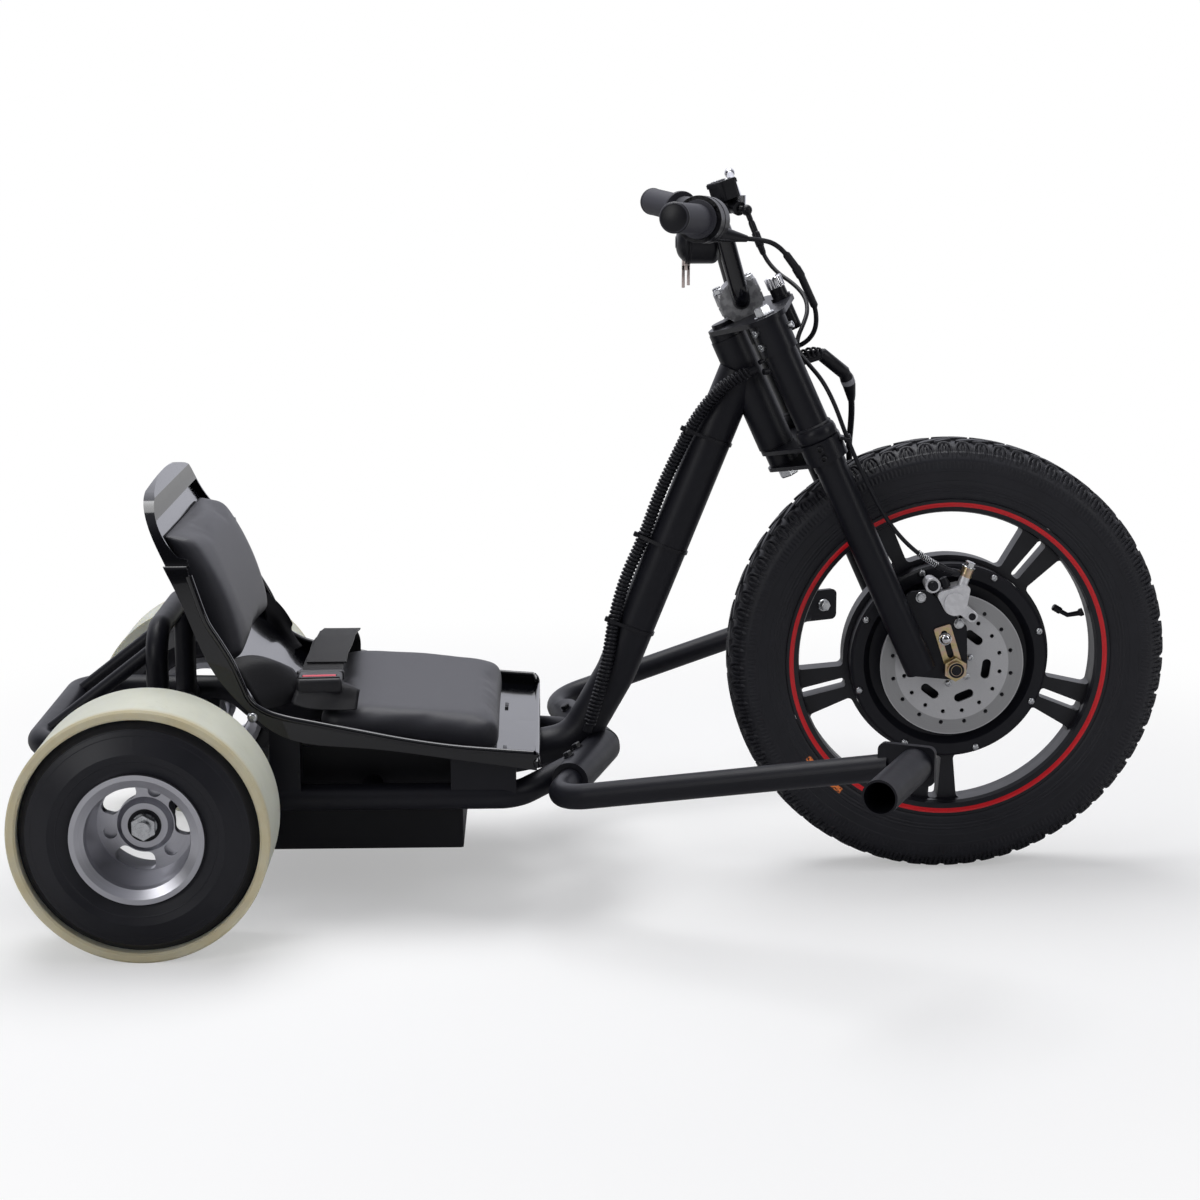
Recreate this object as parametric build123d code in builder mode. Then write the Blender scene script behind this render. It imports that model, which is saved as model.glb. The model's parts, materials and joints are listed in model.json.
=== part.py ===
from build123d import *
from math import cos, pi, radians, sin, tan
import os

os.makedirs("parts", exist_ok=True)

# ----------------------------------------------------------------------------------------------
# Electric drift trike. Millimetres, +X forward, +Y left, +Z up.
# The origin lies on the ground in the middle of the vehicle's length and width.
# ----------------------------------------------------------------------------------------------

# Front wheel
wheelbase = 964
front_tyre_od = 550
front_tyre_width = 78
front_bead_od = 407              # diameter on which the tyre's beads sit
front_rim_bore = 374             # inner diameter of the rim's barrel
front_rim_width = 70
spoke_pairs = 5
spoke_spread = 9.3               # half the angle that a pair spans
spoke_slot = 12                  # width of the slot between the two spokes of a pair
spoke_depth = 26
spoke_phase = -21.5              # angle of the first pair above the forward direction
window_corner = 6
motor_od = 247
motor_width = 80
motor_recess_od = 214
motor_recess_depth = 9
motor_hub_od = 150
disc_od = 178
disc_thickness = 3.6
disc_standoff = 16               # from the motor's cover to the disc's inner face
disc_slots = 6
disc_slot_circle = 86            # diameter of the circle on which the slots lie
disc_slot_length = 25
disc_slot_width = 11
disc_slot_phase = -8
disc_holes = 16
disc_hole_r = 2.6
disc_hole_phase = 13.6
front_axle_r = 7
front_spacer_r = 11
front_nut_size = 26
front_nut_height = 8
running_clearance = 0.05         # radial, between an axle and the hub that turns on it
bearing_clearance = 0.1          # radial, in the head tube
soft_clearance = 0.3             # between a soft or pressed-on piece and its neighbour

# Rear wheels
sleeve_od = 297                  # hard plastic drift sleeve over each rear tyre
sleeve_wall = 11.5
sleeve_width = 106
rear_track = 569                 # between the middles of the two sleeves
rear_tyre_width = 124
rear_bead_od = 127
rear_rim_lip_od = 152
rear_rim_width = 121
rear_rim_wall = 5
rear_lip_stand = 7               # the rim's outer lip stands this far out of the sleeve
rear_hub_od = 53
rear_hub_length = 58
rear_dish_depth = 57             # from the outer lip in to the hub's face
rear_web = 12
rear_axle_r = 8.5
rear_spacer_r = 13
rear_nut_size = 26
rear_window_count = 3
rear_window_phase = -133         # angle of the first window from the forward direction
rear_window_half_angle = 30

# Steering
rake = 24.5                      # head tube from the vertical, degrees
clamp_offset = 46                # fork tubes ahead of the steering axis
axle_lead = 39                   # front axle ahead of the fork tubes' axis
fork_spacing = 170               # between the two fork tubes' axes
tyre_clearance = 30              # between the front tyre and the crown over it
head_od = 45
head_length = 146
head_wall = 4
bearing_gap = 0.4                # between the head tube's end and the clamp plate above it
top_plate_thickness = 6
top_plate_rise = 9               # from the head tube's top to the top plate's underside
top_plate_back = 20.5            # radius of the top plate behind the stem
crown_plate = 5                  # thickness of each of the crown's two plates
crown_drop = 2                   # from the head tube's bottom to the crown's upper plate
crown_gap = 17                   # between the crown's two plates
crown_back = 21.5                # radius of the crown behind the stem
crown_neck_od = 37
upper_collar_od = 46
upper_collar_length = 40         # of the clamps under the top plate
upper_leg_od = 40
lower_leg_od = 38
collar_od = 52
stem_od = 28
bearing_height = 12
leg_overrun = 17                 # the legs end this far above the level of the axle
bracket_thickness = 6
bracket_inset = 11               # from the leg's axis in to the middle of the axle bracket
tab_thickness = 3
tab_width = 21.5
tab_reach = 55.5                 # from the axle to the top of the tab
tab_lean = 6.5                   # the tabs lean forward of the fork by this angle
axle_cap_od = 21
axle_cap_length = 5

# Handlebar and controls
bar_od = 22.2
bar_offset = 31                  # of the bar in its clamp, ahead of the steering axis
bar_stand = 20                   # of the bar in its clamp, above the top plate
clamp_width = 44
clamp_od = 52
grip_od = 35
grip_length = 96
bell_od = 54                     # of the throttle's housing
bell_length = 39
tank_length = 46                 # of the brake's reservoir, along the bar
tank_width = 23
tank_height = 18
tank_lid = 5
tank_lean = 18                   # the reservoir leans back by this angle
ball_r = 6.8                     # of the ball on the lever's end
gauge_od = 52
gauge_length = 51
lock_cap_od = 20
lock_body_od = 19
lock_flange_od = 25
lock_stand = 28                  # of the lock above the top plate
lock_depth = 34                  # of the lock's body below the top plate
lock_offset = 78                 # ahead of the steering axis

# Frame
down_tube_od = 50
rail_od = 32
rail_spacing = 320               # between the two side rails' axes
rail_height = 142
axle_rail_height = 199           # of the rails where they pass over the rear axle
tail_height = 205.5              # of the crossbar behind
tail_width = 300                 # between the crossbar's two corners
tail_overhang = 150              # from the rear axle back to the crossbar's axis
cross_od = 25
axle_plate_thickness = 8
axle_plate_spread = 18           # half the length of the plates along the rail
seat_bracket_lengths = (78, 36)  # of the front pair and of the rear pair
seat_bracket_width = 24
socket_od = 45
socket_sweep = 15.7              # each socket leans back by this angle
socket_reach = 156               # from the middle plane to a socket's open end
socket_height = 158
arm_od = 30
arm_fit = 0.3                    # radial, between a socket and the arm in it
arm_corner = 233                 # of the arm's bend, from the middle plane
arm_bend = 55
arm_splay = 25                   # the arms spread by this angle
arm_reach = 437                  # from the bend to the footpeg's axis, in plan
peg_height = 250
peg_od = 39
peg_wall = 2.5
peg_length = 132
peg_plate_thickness = 8
peg_plate_height = 44
peg_plate_front = 22
peg_plate_back = 42
hoop_od = 27
hoop_spacing = 220
hoop_height = 335
stay_od = 17
stay_spacing = 200

# Battery box and seat
box_length = 300
box_width = 220
box_floor = 61
box_front = 606                  # behind the front axle
upper_box_length = 236           # of the part above the cross tubes
upper_box_top = 191
controller_length = 64
controller_width = 200
controller_floor = 150
controller_top = 180
shell_wall = 4
shell_width = 400
seat_width = 330
seat_thickness = 38
back_width = 290
belt_width = 50
belt_thickness = 2.5

# ----------------------------------------------------------------------------------------------
# Derived places
# ----------------------------------------------------------------------------------------------

front_radius = front_tyre_od / 2
sleeve_radius = sleeve_od / 2
rail_r = rail_od / 2
bar_r = bar_od / 2
grip_r = grip_od / 2
tail_reach = tail_overhang + rail_r
front_axle_x = (wheelbase + tail_reach - front_radius) / 2
rear_axle_x = front_axle_x - wheelbase
front_centre = Vector(front_axle_x, 0, front_radius)

forward = Vector(cos(radians(rake)), 0, sin(radians(rake)))
upward = Vector(-sin(radians(rake)), 0, cos(radians(rake)))
axle_offset = clamp_offset + axle_lead
crown_top = -head_length / 2 - crown_drop
crown_under = crown_top - crown_gap - 2 * crown_plate
axle_drop = front_radius + tyre_clearance - crown_under
head_middle = front_centre - forward * axle_offset + upward * axle_drop
steering = Plane(origin=head_middle, x_dir=forward, z_dir=upward)


def steer(fore, left, up):
    """Place measured from the head tube's middle: ahead, to the left and up the steering axis."""
    return head_middle + forward * fore + Vector(0, left, 0) + upward * up


def at_axle(fore, left, up):
    """Place measured from the front axle's middle, along the same directions."""
    return front_centre + forward * fore + Vector(0, left, 0) + upward * up


def behind(distance, left, height):
    """Place measured backwards from the front axle."""
    return Vector(front_axle_x - distance, left, height)


def toward(start, end, distance):
    """Place on the line from start to end, at a distance from start."""
    return start + (end - start).normalized() * distance


def tube(points, bends, radius):
    """A round bar along straight runs joined by tangent arcs."""
    with BuildLine() as run:
        FilletPolyline(*points, radius=bends)
    with BuildSketch(Plane(origin=run.line @ 0, z_dir=run.line % 0)) as section:
        Circle(radius)
    sweep(sections=section.sketch, path=run.line)


def rod(start, end, radius, mode=Mode.ADD):
    """A straight round bar between two points."""
    with BuildSketch(Plane(origin=start, z_dir=end - start)) as section:
        Circle(radius)
    extrude(section.sketch, amount=(end - start).length, mode=mode)


def finish(part, name):
    """Label a finished piece and write it as its own file."""
    part.label = name
    export_step(part, f"parts/{name}.step")


def cord(name, points, radius):
    """A cable held along its route, its arcs as large as the runs beside them allow."""
    bends = []
    for before, corner, after in zip(points, points[1:], points[2:]):
        into = corner - before
        out = after - corner
        half_turn = radians(into.get_angle(out) / 2)
        bends.append(0.45 * min(into.length, out.length) / tan(half_turn))
    with BuildPart() as run:
        tube(points, bends, radius)
    with BuildLine() as route:
        FilletPolyline(*points, radius=bends)
    length = sum(edge.length for edge in route.edges())
    ratio = run.part.volume / (pi * radius**2 * length)
    print(f"{name}: length {length:.0f}, volume ratio {ratio:.4f}, radii {[round(r) for r in bends]}")
    finish(run.part, name)


# ----------------------------------------------------------------------------------------------
# Front wheel: tyre, cast rim with twin spokes, hub motor and brake disc
# ----------------------------------------------------------------------------------------------

wheel_plane = Plane(origin=front_centre, x_dir=(1, 0, 0), z_dir=(0, -1, 0))
wheel_section = Plane(origin=front_centre, x_dir=(0, 1, 0), z_dir=(1, 0, 0))
wheel_axis = Axis(front_centre, (0, 1, 0))
bead_r = front_bead_od / 2
rim_bore_r = front_rim_bore / 2
half_tyre = front_tyre_width / 2
half_rim = front_rim_width / 2
motor_r = motor_od / 2
half_motor = motor_width / 2
disc_r = disc_od / 2
axle_bore = front_axle_r + running_clearance
tread_half = 24                  # half width of the tread's crown
tread_fall = 3                   # the crown's edges lie this far inside the middle
shoulder_fall = 17

with BuildPart() as front_tyre:
    with BuildSketch(wheel_section):
        with BuildLine():
            base = Line((-half_rim, bead_r), (half_rim, bead_r))
            Polyline(
                base @ 1,
                (half_tyre, (bead_r + front_radius) / 2 - 4),
                (half_tyre - 3, front_radius - shoulder_fall),
                (tread_half, front_radius - tread_fall),
                (0, front_radius),
                (-tread_half, front_radius - tread_fall),
                (-half_tyre + 3, front_radius - shoulder_fall),
                (-half_tyre, (bead_r + front_radius) / 2 - 4),
                base @ 0,
            )
        make_face()
    revolve(axis=wheel_axis)
finish(front_tyre.part, "front_tyre")

rim_edge = 6                     # thickness of the barrel's edge
motor_ring = 6
window_inner = motor_r + motor_ring
window_half_angle = 180 / spoke_pairs - spoke_spread

with BuildSketch() as window:
    with BuildLine():
        near_arc = CenterArc((0, 0), window_inner, -window_half_angle, 2 * window_half_angle)
        far_arc = CenterArc((0, 0), rim_bore_r, -window_half_angle, 2 * window_half_angle)
        Line(near_arc @ 0, far_arc @ 0)
        Line(near_arc @ 1, far_arc @ 1)
    make_face()
    fillet(window.vertices(), window_corner)

with BuildPart() as front_rim:
    with BuildSketch(wheel_section):
        with BuildLine():
            bead_seat = bead_r - soft_clearance
            Polyline(
                (-half_rim, bead_seat - rim_edge),
                (-half_rim, bead_seat),
                (half_rim, bead_seat),
                (half_rim, bead_seat - rim_edge),
                (half_rim - 7, rim_bore_r + 8),
                (0, rim_bore_r),
                (-half_rim + 11, rim_bore_r - 1),
                (-half_rim + 4, rim_bore_r + 1),
                (-half_rim, bead_seat - rim_edge),
            )
        make_face()
    revolve(axis=wheel_axis)
    # web with five wide windows, and a slot through the spokes between them
    with BuildSketch(wheel_plane.offset(-spoke_depth / 2)):
        Circle(rim_bore_r + 4)
        Circle(motor_r, mode=Mode.SUBTRACT)
        with PolarLocations(0, spoke_pairs, start_angle=spoke_phase + 180 / spoke_pairs):
            add(window.sketch, mode=Mode.SUBTRACT)
        with PolarLocations((window_inner + rim_bore_r) / 2, spoke_pairs, start_angle=spoke_phase):
            RectangleRounded(rim_bore_r - window_inner - 2, spoke_slot, 4, mode=Mode.SUBTRACT)
    extrude(amount=spoke_depth)
finish(front_rim.part, "front_rim")

with BuildPart() as hub_motor:
    with BuildSketch(wheel_section):
        with BuildLine():
            hub_r = motor_hub_od / 2
            recess_r = motor_recess_od / 2
            flat = half_motor - motor_recess_depth
            edge = motor_r - soft_clearance
            chamfer_size = 3
            Polyline(
                (-half_motor, axle_bore),
                (-half_motor, hub_r - 6),
                (-flat, hub_r + 4),
                (-flat, recess_r - 8),
                (-half_motor, recess_r),
                (-half_motor, edge - chamfer_size),
                (-half_motor + chamfer_size, edge),
                (half_motor - chamfer_size, edge),
                (half_motor, edge - chamfer_size),
                (half_motor, recess_r),
                (flat, recess_r - 8),
                (flat, hub_r + 4),
                (half_motor, hub_r - 6),
                (half_motor, axle_bore),
                (-half_motor, axle_bore),
            )
        make_face()
    revolve(axis=wheel_axis)
    # boss that carries the brake disc
    with BuildSketch(wheel_plane.offset(half_motor)):
        Circle(30)
        Circle(axle_bore, mode=Mode.SUBTRACT)
    extrude(amount=disc_standoff)
finish(hub_motor.part, "hub_motor")

disc_face = half_motor + disc_standoff
with BuildPart() as brake_disc:
    with BuildSketch(wheel_plane.offset(disc_face)):
        Circle(disc_r)
        Circle(axle_bore + 6, mode=Mode.SUBTRACT)
        for hole_circle_r in (disc_r - 14.5, disc_r - 28.5):
            with PolarLocations(hole_circle_r, disc_holes, start_angle=disc_hole_phase):
                Circle(disc_hole_r, mode=Mode.SUBTRACT)
        with PolarLocations(disc_slot_circle / 2, disc_slots, start_angle=disc_slot_phase):
            SlotOverall(disc_slot_length, disc_slot_width, rotation=91, mode=Mode.SUBTRACT)
    extrude(amount=disc_thickness)
finish(brake_disc.part, "brake_disc")

# ----------------------------------------------------------------------------------------------
# Rear wheels: dished rim, slick tyre and plastic drift sleeve
# ----------------------------------------------------------------------------------------------

axle_height = sleeve_radius
slick_r = sleeve_radius - sleeve_wall - soft_clearance
lip_r = rear_rim_lip_od / 2
rear_bead_r = rear_bead_od / 2
hub_bore = rear_axle_r + running_clearance
hub_outer = rear_hub_od / 2
rear_middle = rear_track / 2
half_sleeve = sleeve_width / 2
lip_y = rear_middle + half_sleeve + rear_lip_stand
hub_face_y = lip_y - rear_dish_depth
hub_inner_y = hub_face_y - rear_hub_length
rim_inner_y = lip_y - rear_rim_width
lip_width = 6
web_face_y = hub_face_y - 6
well_r = rear_bead_r - rear_rim_wall

with BuildSketch() as rear_window:
    with BuildLine():
        start = -rear_window_half_angle
        sweep_angle = 2 * rear_window_half_angle
        hub_arc = CenterArc((0, 0), hub_outer + 7, start, sweep_angle)
        well_arc = CenterArc((0, 0), well_r - 4, start, sweep_angle)
        Line(hub_arc @ 0, well_arc @ 0)
        Line(hub_arc @ 1, well_arc @ 1)
    make_face()
    fillet(rear_window.vertices(), 8)

for side, suffix in ((1, "left"), (-1, "right")):
    spin = Axis((rear_axle_x, 0, axle_height), (0, 1, 0))
    # profiles are drawn with their first coordinate along the axle, outwards from the middle
    section = Plane(origin=(rear_axle_x, 0, axle_height), x_dir=(0, side, 0), z_dir=(side, 0, 0))

    with BuildPart() as sleeve:
        with BuildSketch(section) as sleeve_ring:
            with Locations((rear_middle, sleeve_radius - sleeve_wall / 2)):
                Rectangle(sleeve_width, sleeve_wall)
            chamfer(sleeve_ring.vertices().sort_by_distance(spin.position)[-2:], 2.5)
        revolve(axis=spin)
    finish(sleeve.part, f"drift_sleeve_{suffix}")

    with BuildPart() as slick:
        half = rear_tyre_width / 2
        with BuildSketch(section):
            with BuildLine():
                inner = (rim_inner_y + lip_width, rear_bead_r)
                outer = (lip_y - lip_width, rear_bead_r)
                out_wall = Polyline(
                    (lip_y - lip_width, lip_r + 1),
                    (rear_middle + half, lip_r + 24),
                    (rear_middle + half_sleeve - 2, slick_r - 10),
                    (rear_middle + half_sleeve - 14, slick_r),
                )
                in_wall = Polyline(
                    (rim_inner_y + lip_width, lip_r + 1),
                    (rear_middle - half, lip_r + 24),
                    (rear_middle - half_sleeve + 2, slick_r - 10),
                    (rear_middle - half_sleeve + 14, slick_r),
                )
                Line(out_wall @ 1, in_wall @ 1)
                Polyline(in_wall @ 0, inner, outer, out_wall @ 0)
            make_face()
        revolve(axis=spin)
    finish(slick.part, f"rear_tyre_{suffix}")

    with BuildPart() as rim:
        with BuildSketch(section):
            with BuildLine():
                bed = rear_bead_r - soft_clearance
                Polyline(
                    (rim_inner_y, lip_r - lip_width),
                    (rim_inner_y, lip_r),
                    (rim_inner_y + lip_width - 1, lip_r),
                    (rim_inner_y + lip_width - 1, bed),
                    (lip_y - lip_width + 1, bed),
                    (lip_y - lip_width + 1, lip_r),
                    (lip_y, lip_r),
                    (lip_y, lip_r - lip_width),
                    (lip_y - lip_width, bed - 3),
                    (lip_y - 14, well_r),
                    (web_face_y, well_r - 3),
                    (web_face_y, hub_outer + 6),
                    (hub_face_y, hub_outer),
                    (hub_face_y, hub_bore),
                    (hub_inner_y, hub_bore),
                    (hub_inner_y, hub_outer),
                    (web_face_y - rear_web, hub_outer),
                    (web_face_y - rear_web, well_r - 3),
                    (rim_inner_y + 14, well_r),
                    (rim_inner_y + lip_width, bed - 3),
                    (rim_inner_y, lip_r - lip_width),
                )
            make_face()
        revolve(axis=spin)
        # windows through the web, and round pockets between them
        web_middle = Vector(rear_axle_x, side * web_face_y, axle_height)
        face = Plane(origin=web_middle, x_dir=(1, 0, 0), z_dir=(0, -side, 0))
        with BuildSketch(face):
            with PolarLocations(0, rear_window_count, start_angle=rear_window_phase):
                add(rear_window.sketch)
        extrude(amount=rear_web, mode=Mode.SUBTRACT)
        with BuildSketch(face):
            pocket_phase = rear_window_phase + 180 / rear_window_count
            with PolarLocations(hub_outer + 15, rear_window_count, start_angle=pocket_phase):
                Circle(8)
        extrude(amount=rear_web * 0.6, mode=Mode.SUBTRACT)
    finish(rim.part, f"rear_rim_{suffix}")

# ----------------------------------------------------------------------------------------------
# Main frame: head tube, down tube and spine
# ----------------------------------------------------------------------------------------------

head_r = head_od / 2
head_bore = head_r - head_wall
spine_r = down_tube_od / 2
cross_r = cross_od / 2
front_cross_x = front_axle_x - 588
tube_top = steer(-5.4, 0, 28.6)
tube_knee = behind(415, 0, 255)
tube_foot = behind(466, 0, 165)
spine_end = Vector(front_cross_x, 0, rail_height)

with BuildPart() as main_tube:
    tube([tube_top, tube_knee, tube_foot, spine_end], [120, 60], spine_r)
    rod(steer(0, 0, -head_length / 2), steer(0, 0, head_length / 2), head_r)
    rod(steer(0, 0, -head_length / 2), steer(0, 0, head_length / 2), head_bore, Mode.SUBTRACT)
finish(main_tube.part, "main_tube")

# ----------------------------------------------------------------------------------------------
# Footrests: two sockets across the foot of the frame, bent arms and open tubular pegs
# ----------------------------------------------------------------------------------------------

socket_r = socket_od / 2
arm_r = arm_od / 2
socket_x = front_axle_x - 431.5
arm_insertion = 42               # of the arm into its socket


def on_socket(side, reach):
    """Place on a socket's axis at a distance from the middle plane."""
    return Vector(socket_x - reach * tan(radians(socket_sweep)), side * reach, socket_height)


with BuildPart() as peg_sockets:
    for side in (1, -1):
        rod(on_socket(side, 0), on_socket(side, socket_reach), socket_r)
    for side in (1, -1):
        bore_foot = on_socket(side, socket_reach - arm_insertion)
        rod(bore_foot, on_socket(side, socket_reach + 1), arm_r + arm_fit, Mode.SUBTRACT)
    add(main_tube.part, mode=Mode.SUBTRACT)
finish(peg_sockets.part, "peg_sockets")


def peg_frame(side):
    """Plane at a footpeg's root: x along the arm, z outwards along the peg."""
    splay = radians(arm_splay)
    along = Vector(cos(splay), side * sin(splay), 0)
    outward = Vector(-sin(splay), side * cos(splay), 0)
    arm_end = on_socket(side, arm_corner) + along * arm_reach + Vector(0, 0, peg_height - socket_height)
    return Plane(origin=arm_end + outward * peg_plate_thickness, x_dir=along, z_dir=outward)


peg_r = peg_od / 2
with BuildPart() as footrest_arms:
    for side in (1, -1):
        root = peg_frame(side)
        corner = on_socket(side, arm_corner)
        inner_end = on_socket(side, socket_reach - arm_insertion + 2)
        arm_end = root.origin - root.z_dir * peg_plate_thickness
        outer_end = toward(arm_end, corner, peg_plate_back - 12)
        tube([inner_end, corner, outer_end], arm_bend, arm_r)
        with BuildSketch(root.offset(-peg_plate_thickness)):
            with Locations(((peg_plate_front - peg_plate_back) / 2, 0)):
                RectangleRounded(peg_plate_front + peg_plate_back, peg_plate_height, 8)
        extrude(amount=peg_plate_thickness)
finish(footrest_arms.part, "footrest_arms")

with BuildPart() as footpegs:
    for side in (1, -1):
        root = peg_frame(side)
        with BuildSketch(root):
            Circle(peg_r)
        extrude(amount=peg_length)
        with BuildSketch(root.offset(5)):
            Circle(peg_r - peg_wall)
        extrude(amount=peg_length, mode=Mode.SUBTRACT)
    add(footrest_arms.part, mode=Mode.SUBTRACT)
finish(footpegs.part, "footpegs")

# ----------------------------------------------------------------------------------------------
# Seat: one moulded shell with raised edges, a cushion, a back pad and a lap belt
# ----------------------------------------------------------------------------------------------

half_shell = shell_width / 2
shell_front = 515                # the shell's front edge, behind the front axle
shell_top = 518
shell_corner_drop = 11           # the top edge falls by this from its middle to its corners
headrest_foot = 478              # height at which the tray ends and the headrest begins
behind_shell = 1020              # the shell ends nearer than this, behind the front axle
side_plane = Plane(origin=(front_axle_x, 0, 0), x_dir=(1, 0, 0), z_dir=(0, -1, 0))
front_plane = Plane(origin=(front_axle_x, 0, 0), x_dir=(0, 1, 0), z_dir=(1, 0, 0))
# underside of the shell from its front edge to its top
under_seat = [(-shell_front, 184), (-shell_front - 45, 191), (-shell_front - 100, 199)]
under_seat += [(-728, 214), (-817, 230)]
under_back = [(-860, 266), (-892, 307), (-912, 351), (-935, 408), (-961, 461), (-970, 485), (-976, 508)]
# its raised edge, up the back to where the sides end, and on over the headrest
rim_seat = [(-shell_front, 203), (-shell_front - 100, 212), (-727, 232), (-812, 250)]
rim_seat += [(-851, 271), (-871, 318), (-899, 367), (-912, 405), (-921, 437)]
rim_head = [(-932, 439), (-953, 470), (-962, 503)]


def shell_outline(inset):
    """Outline of the shell seen from the front, moved inwards by the inset."""
    half = half_shell - inset
    crown = shell_top - inset
    shoulder = crown - shell_corner_drop
    with BuildSketch(front_plane, mode=Mode.PRIVATE) as outline:
        with BuildLine():
            top = ThreePointArc((half - 78, shoulder), (0, crown), (-half + 78, shoulder))
            left_edge = Spline(
                (half, 262),
                (half - 20, 433),
                (half - 35, 480),
                top @ 0,
                tangents=((0, 1), (-1, 0.2)),
            )
            right_edge = Spline(
                top @ 1,
                (-half + 35, 480),
                (-half + 20, 433),
                (-half, 262),
                tangents=((-1, -0.2), (0, -1)),
            )
            Polyline(right_edge @ 1, (-half, 150), (half, 150), left_edge @ 0)
        make_face()
    return outline.sketch


with BuildPart() as seat_hollow:
    with BuildSketch(side_plane):
        with BuildLine():
            floor_line = [(x - 2, z + shell_wall) for x, z in under_seat[1:]]
            back_line = [(x + shell_wall, z + 1) for x, z in under_back[:5]]
            tray_top = (rim_head[1][0] - 2, headrest_foot + shell_wall)
            under = Spline((-shell_front + 20, 191), *floor_line, *back_line)
            Polyline(under @ 1, (under_back[5][0] + shell_wall + 3, headrest_foot - 4), tray_top)
            Polyline(tray_top, (-400, headrest_foot + shell_wall), (-400, 191), under @ 0)
        make_face()
    extrude(amount=half_shell, both=True)
    extrude(shell_outline(shell_wall), amount=-1.2 * behind_shell, mode=Mode.INTERSECT)

with BuildPart() as headrest_hollow:
    with BuildSketch(side_plane):
        with BuildLine():
            Polyline(
                (-behind_shell, headrest_foot + 1),
                (-961, headrest_foot + 1),
                (rim_head[2][0] - shell_wall, 500),
                (rim_head[2][0] - shell_wall - 1, shell_top - 2 * shell_wall - 3),
                (-behind_shell, shell_top - shell_wall),
                (-behind_shell, headrest_foot + 1),
            )
        make_face()
    extrude(amount=half_shell, both=True)
    extrude(shell_outline(shell_wall), amount=-1.2 * behind_shell, mode=Mode.INTERSECT)

with BuildPart() as seat_shell:
    with BuildSketch(side_plane):
        with BuildLine():
            under = Spline(*under_seat, *under_back)
            rim_line = Spline(*rim_seat)
            head_line = Spline(*rim_head)
            Polyline(under @ 1, (-972, shell_top), head_line @ 1)
            Line(head_line @ 0, rim_line @ 1)
            Line(rim_line @ 0, under @ 0)
        make_face()
    extrude(amount=half_shell, both=True)
    extrude(shell_outline(0), amount=-1.2 * behind_shell, mode=Mode.INTERSECT)
    add(seat_hollow.part, mode=Mode.SUBTRACT)
    add(headrest_hollow.part, mode=Mode.SUBTRACT)
finish(seat_shell.part, "seat_shell")

with BuildPart() as seat_cushion:
    with BuildSketch(side_plane):
        with BuildLine():
            crown = ThreePointArc((-560, 230), (-668, 242), (-775, 248))
            Polyline(crown @ 1, (-775, 180), (-560, 180), crown @ 0)
        make_face()
    extrude(amount=seat_width / 2, both=True)
    fillet(seat_cushion.edges().filter_by(Axis.Z), 22)
    fillet(seat_cushion.faces().sort_by(Axis.Z)[-1].edges(), 7)
    add(seat_hollow.part.moved(Location((0, 0, soft_clearance))), mode=Mode.INTERSECT)
finish(seat_cushion.part, "seat_cushion")

with BuildPart() as back_cushion:
    with BuildSketch(side_plane):
        with BuildLine():
            pad_front = ThreePointArc((-865, 308), (-886, 384), (-922, 454))
            Polyline(pad_front @ 1, (-990, 470), (-940, 288), pad_front @ 0)
        make_face()
    extrude(amount=back_width / 2, both=True)
    fillet(back_cushion.faces().sort_by(Axis.X)[-1].edges(), 9)
    add(seat_hollow.part.moved(Location((soft_clearance, 0, 0))), mode=Mode.INTERSECT)
finish(back_cushion.part, "back_cushion")

belt_x = front_axle_x - 800
belt_end = half_shell - shell_wall - soft_clearance
buckle_y = -belt_end + 66        # of the buckle's middle
buckle_length = 66
buckle_width = 58
buckle_height = 22
belt_crest = 284                 # height of the strap's middle
lie_points = [(-belt_end, 232), (-belt_end, 252), (-belt_end + 46, 272), (-50, belt_crest)]
lie_points += [(50, belt_crest), (belt_end - 46, 272), (belt_end, 252), (belt_end, 232)]
with BuildPart() as belt_strap:
    with BuildSketch(Plane(origin=(belt_x, 0, 0), x_dir=(0, 1, 0), z_dir=(1, 0, 0))):
        with BuildLine():
            Polyline(*lie_points)
            offset(amount=belt_thickness, side=Side.RIGHT)
        make_face()
    extrude(amount=belt_width)
finish(belt_strap.part, "belt_strap")

with BuildPart() as belt_buckle:
    with BuildSketch(Plane(origin=(belt_x + belt_width / 2, buckle_y, 265))):
        RectangleRounded(buckle_width, buckle_length, 6)
    extrude(amount=buckle_height)
    add(belt_strap.part, mode=Mode.SUBTRACT)
finish(belt_buckle.part, "belt_buckle")

# ----------------------------------------------------------------------------------------------
# Seat rails: one loop of tube, with cross tubes, and the plates that hold the rear axle
# ----------------------------------------------------------------------------------------------

half_rails = rail_spacing / 2
half_tail = tail_width / 2
tail_x = rear_axle_x - tail_overhang
hoop_x = rear_axle_x - 8
kick_start_x = rear_axle_x + 108
kick_end_x = rear_axle_x + 44
rail_front_x = front_axle_x - 540
cross_places = (front_cross_x, front_axle_x - 715, front_axle_x - 845)
bracket_places = (front_axle_x - 579, front_axle_x - 815)
seat_bracket_height = 95         # cut to the underside of the seat

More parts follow.
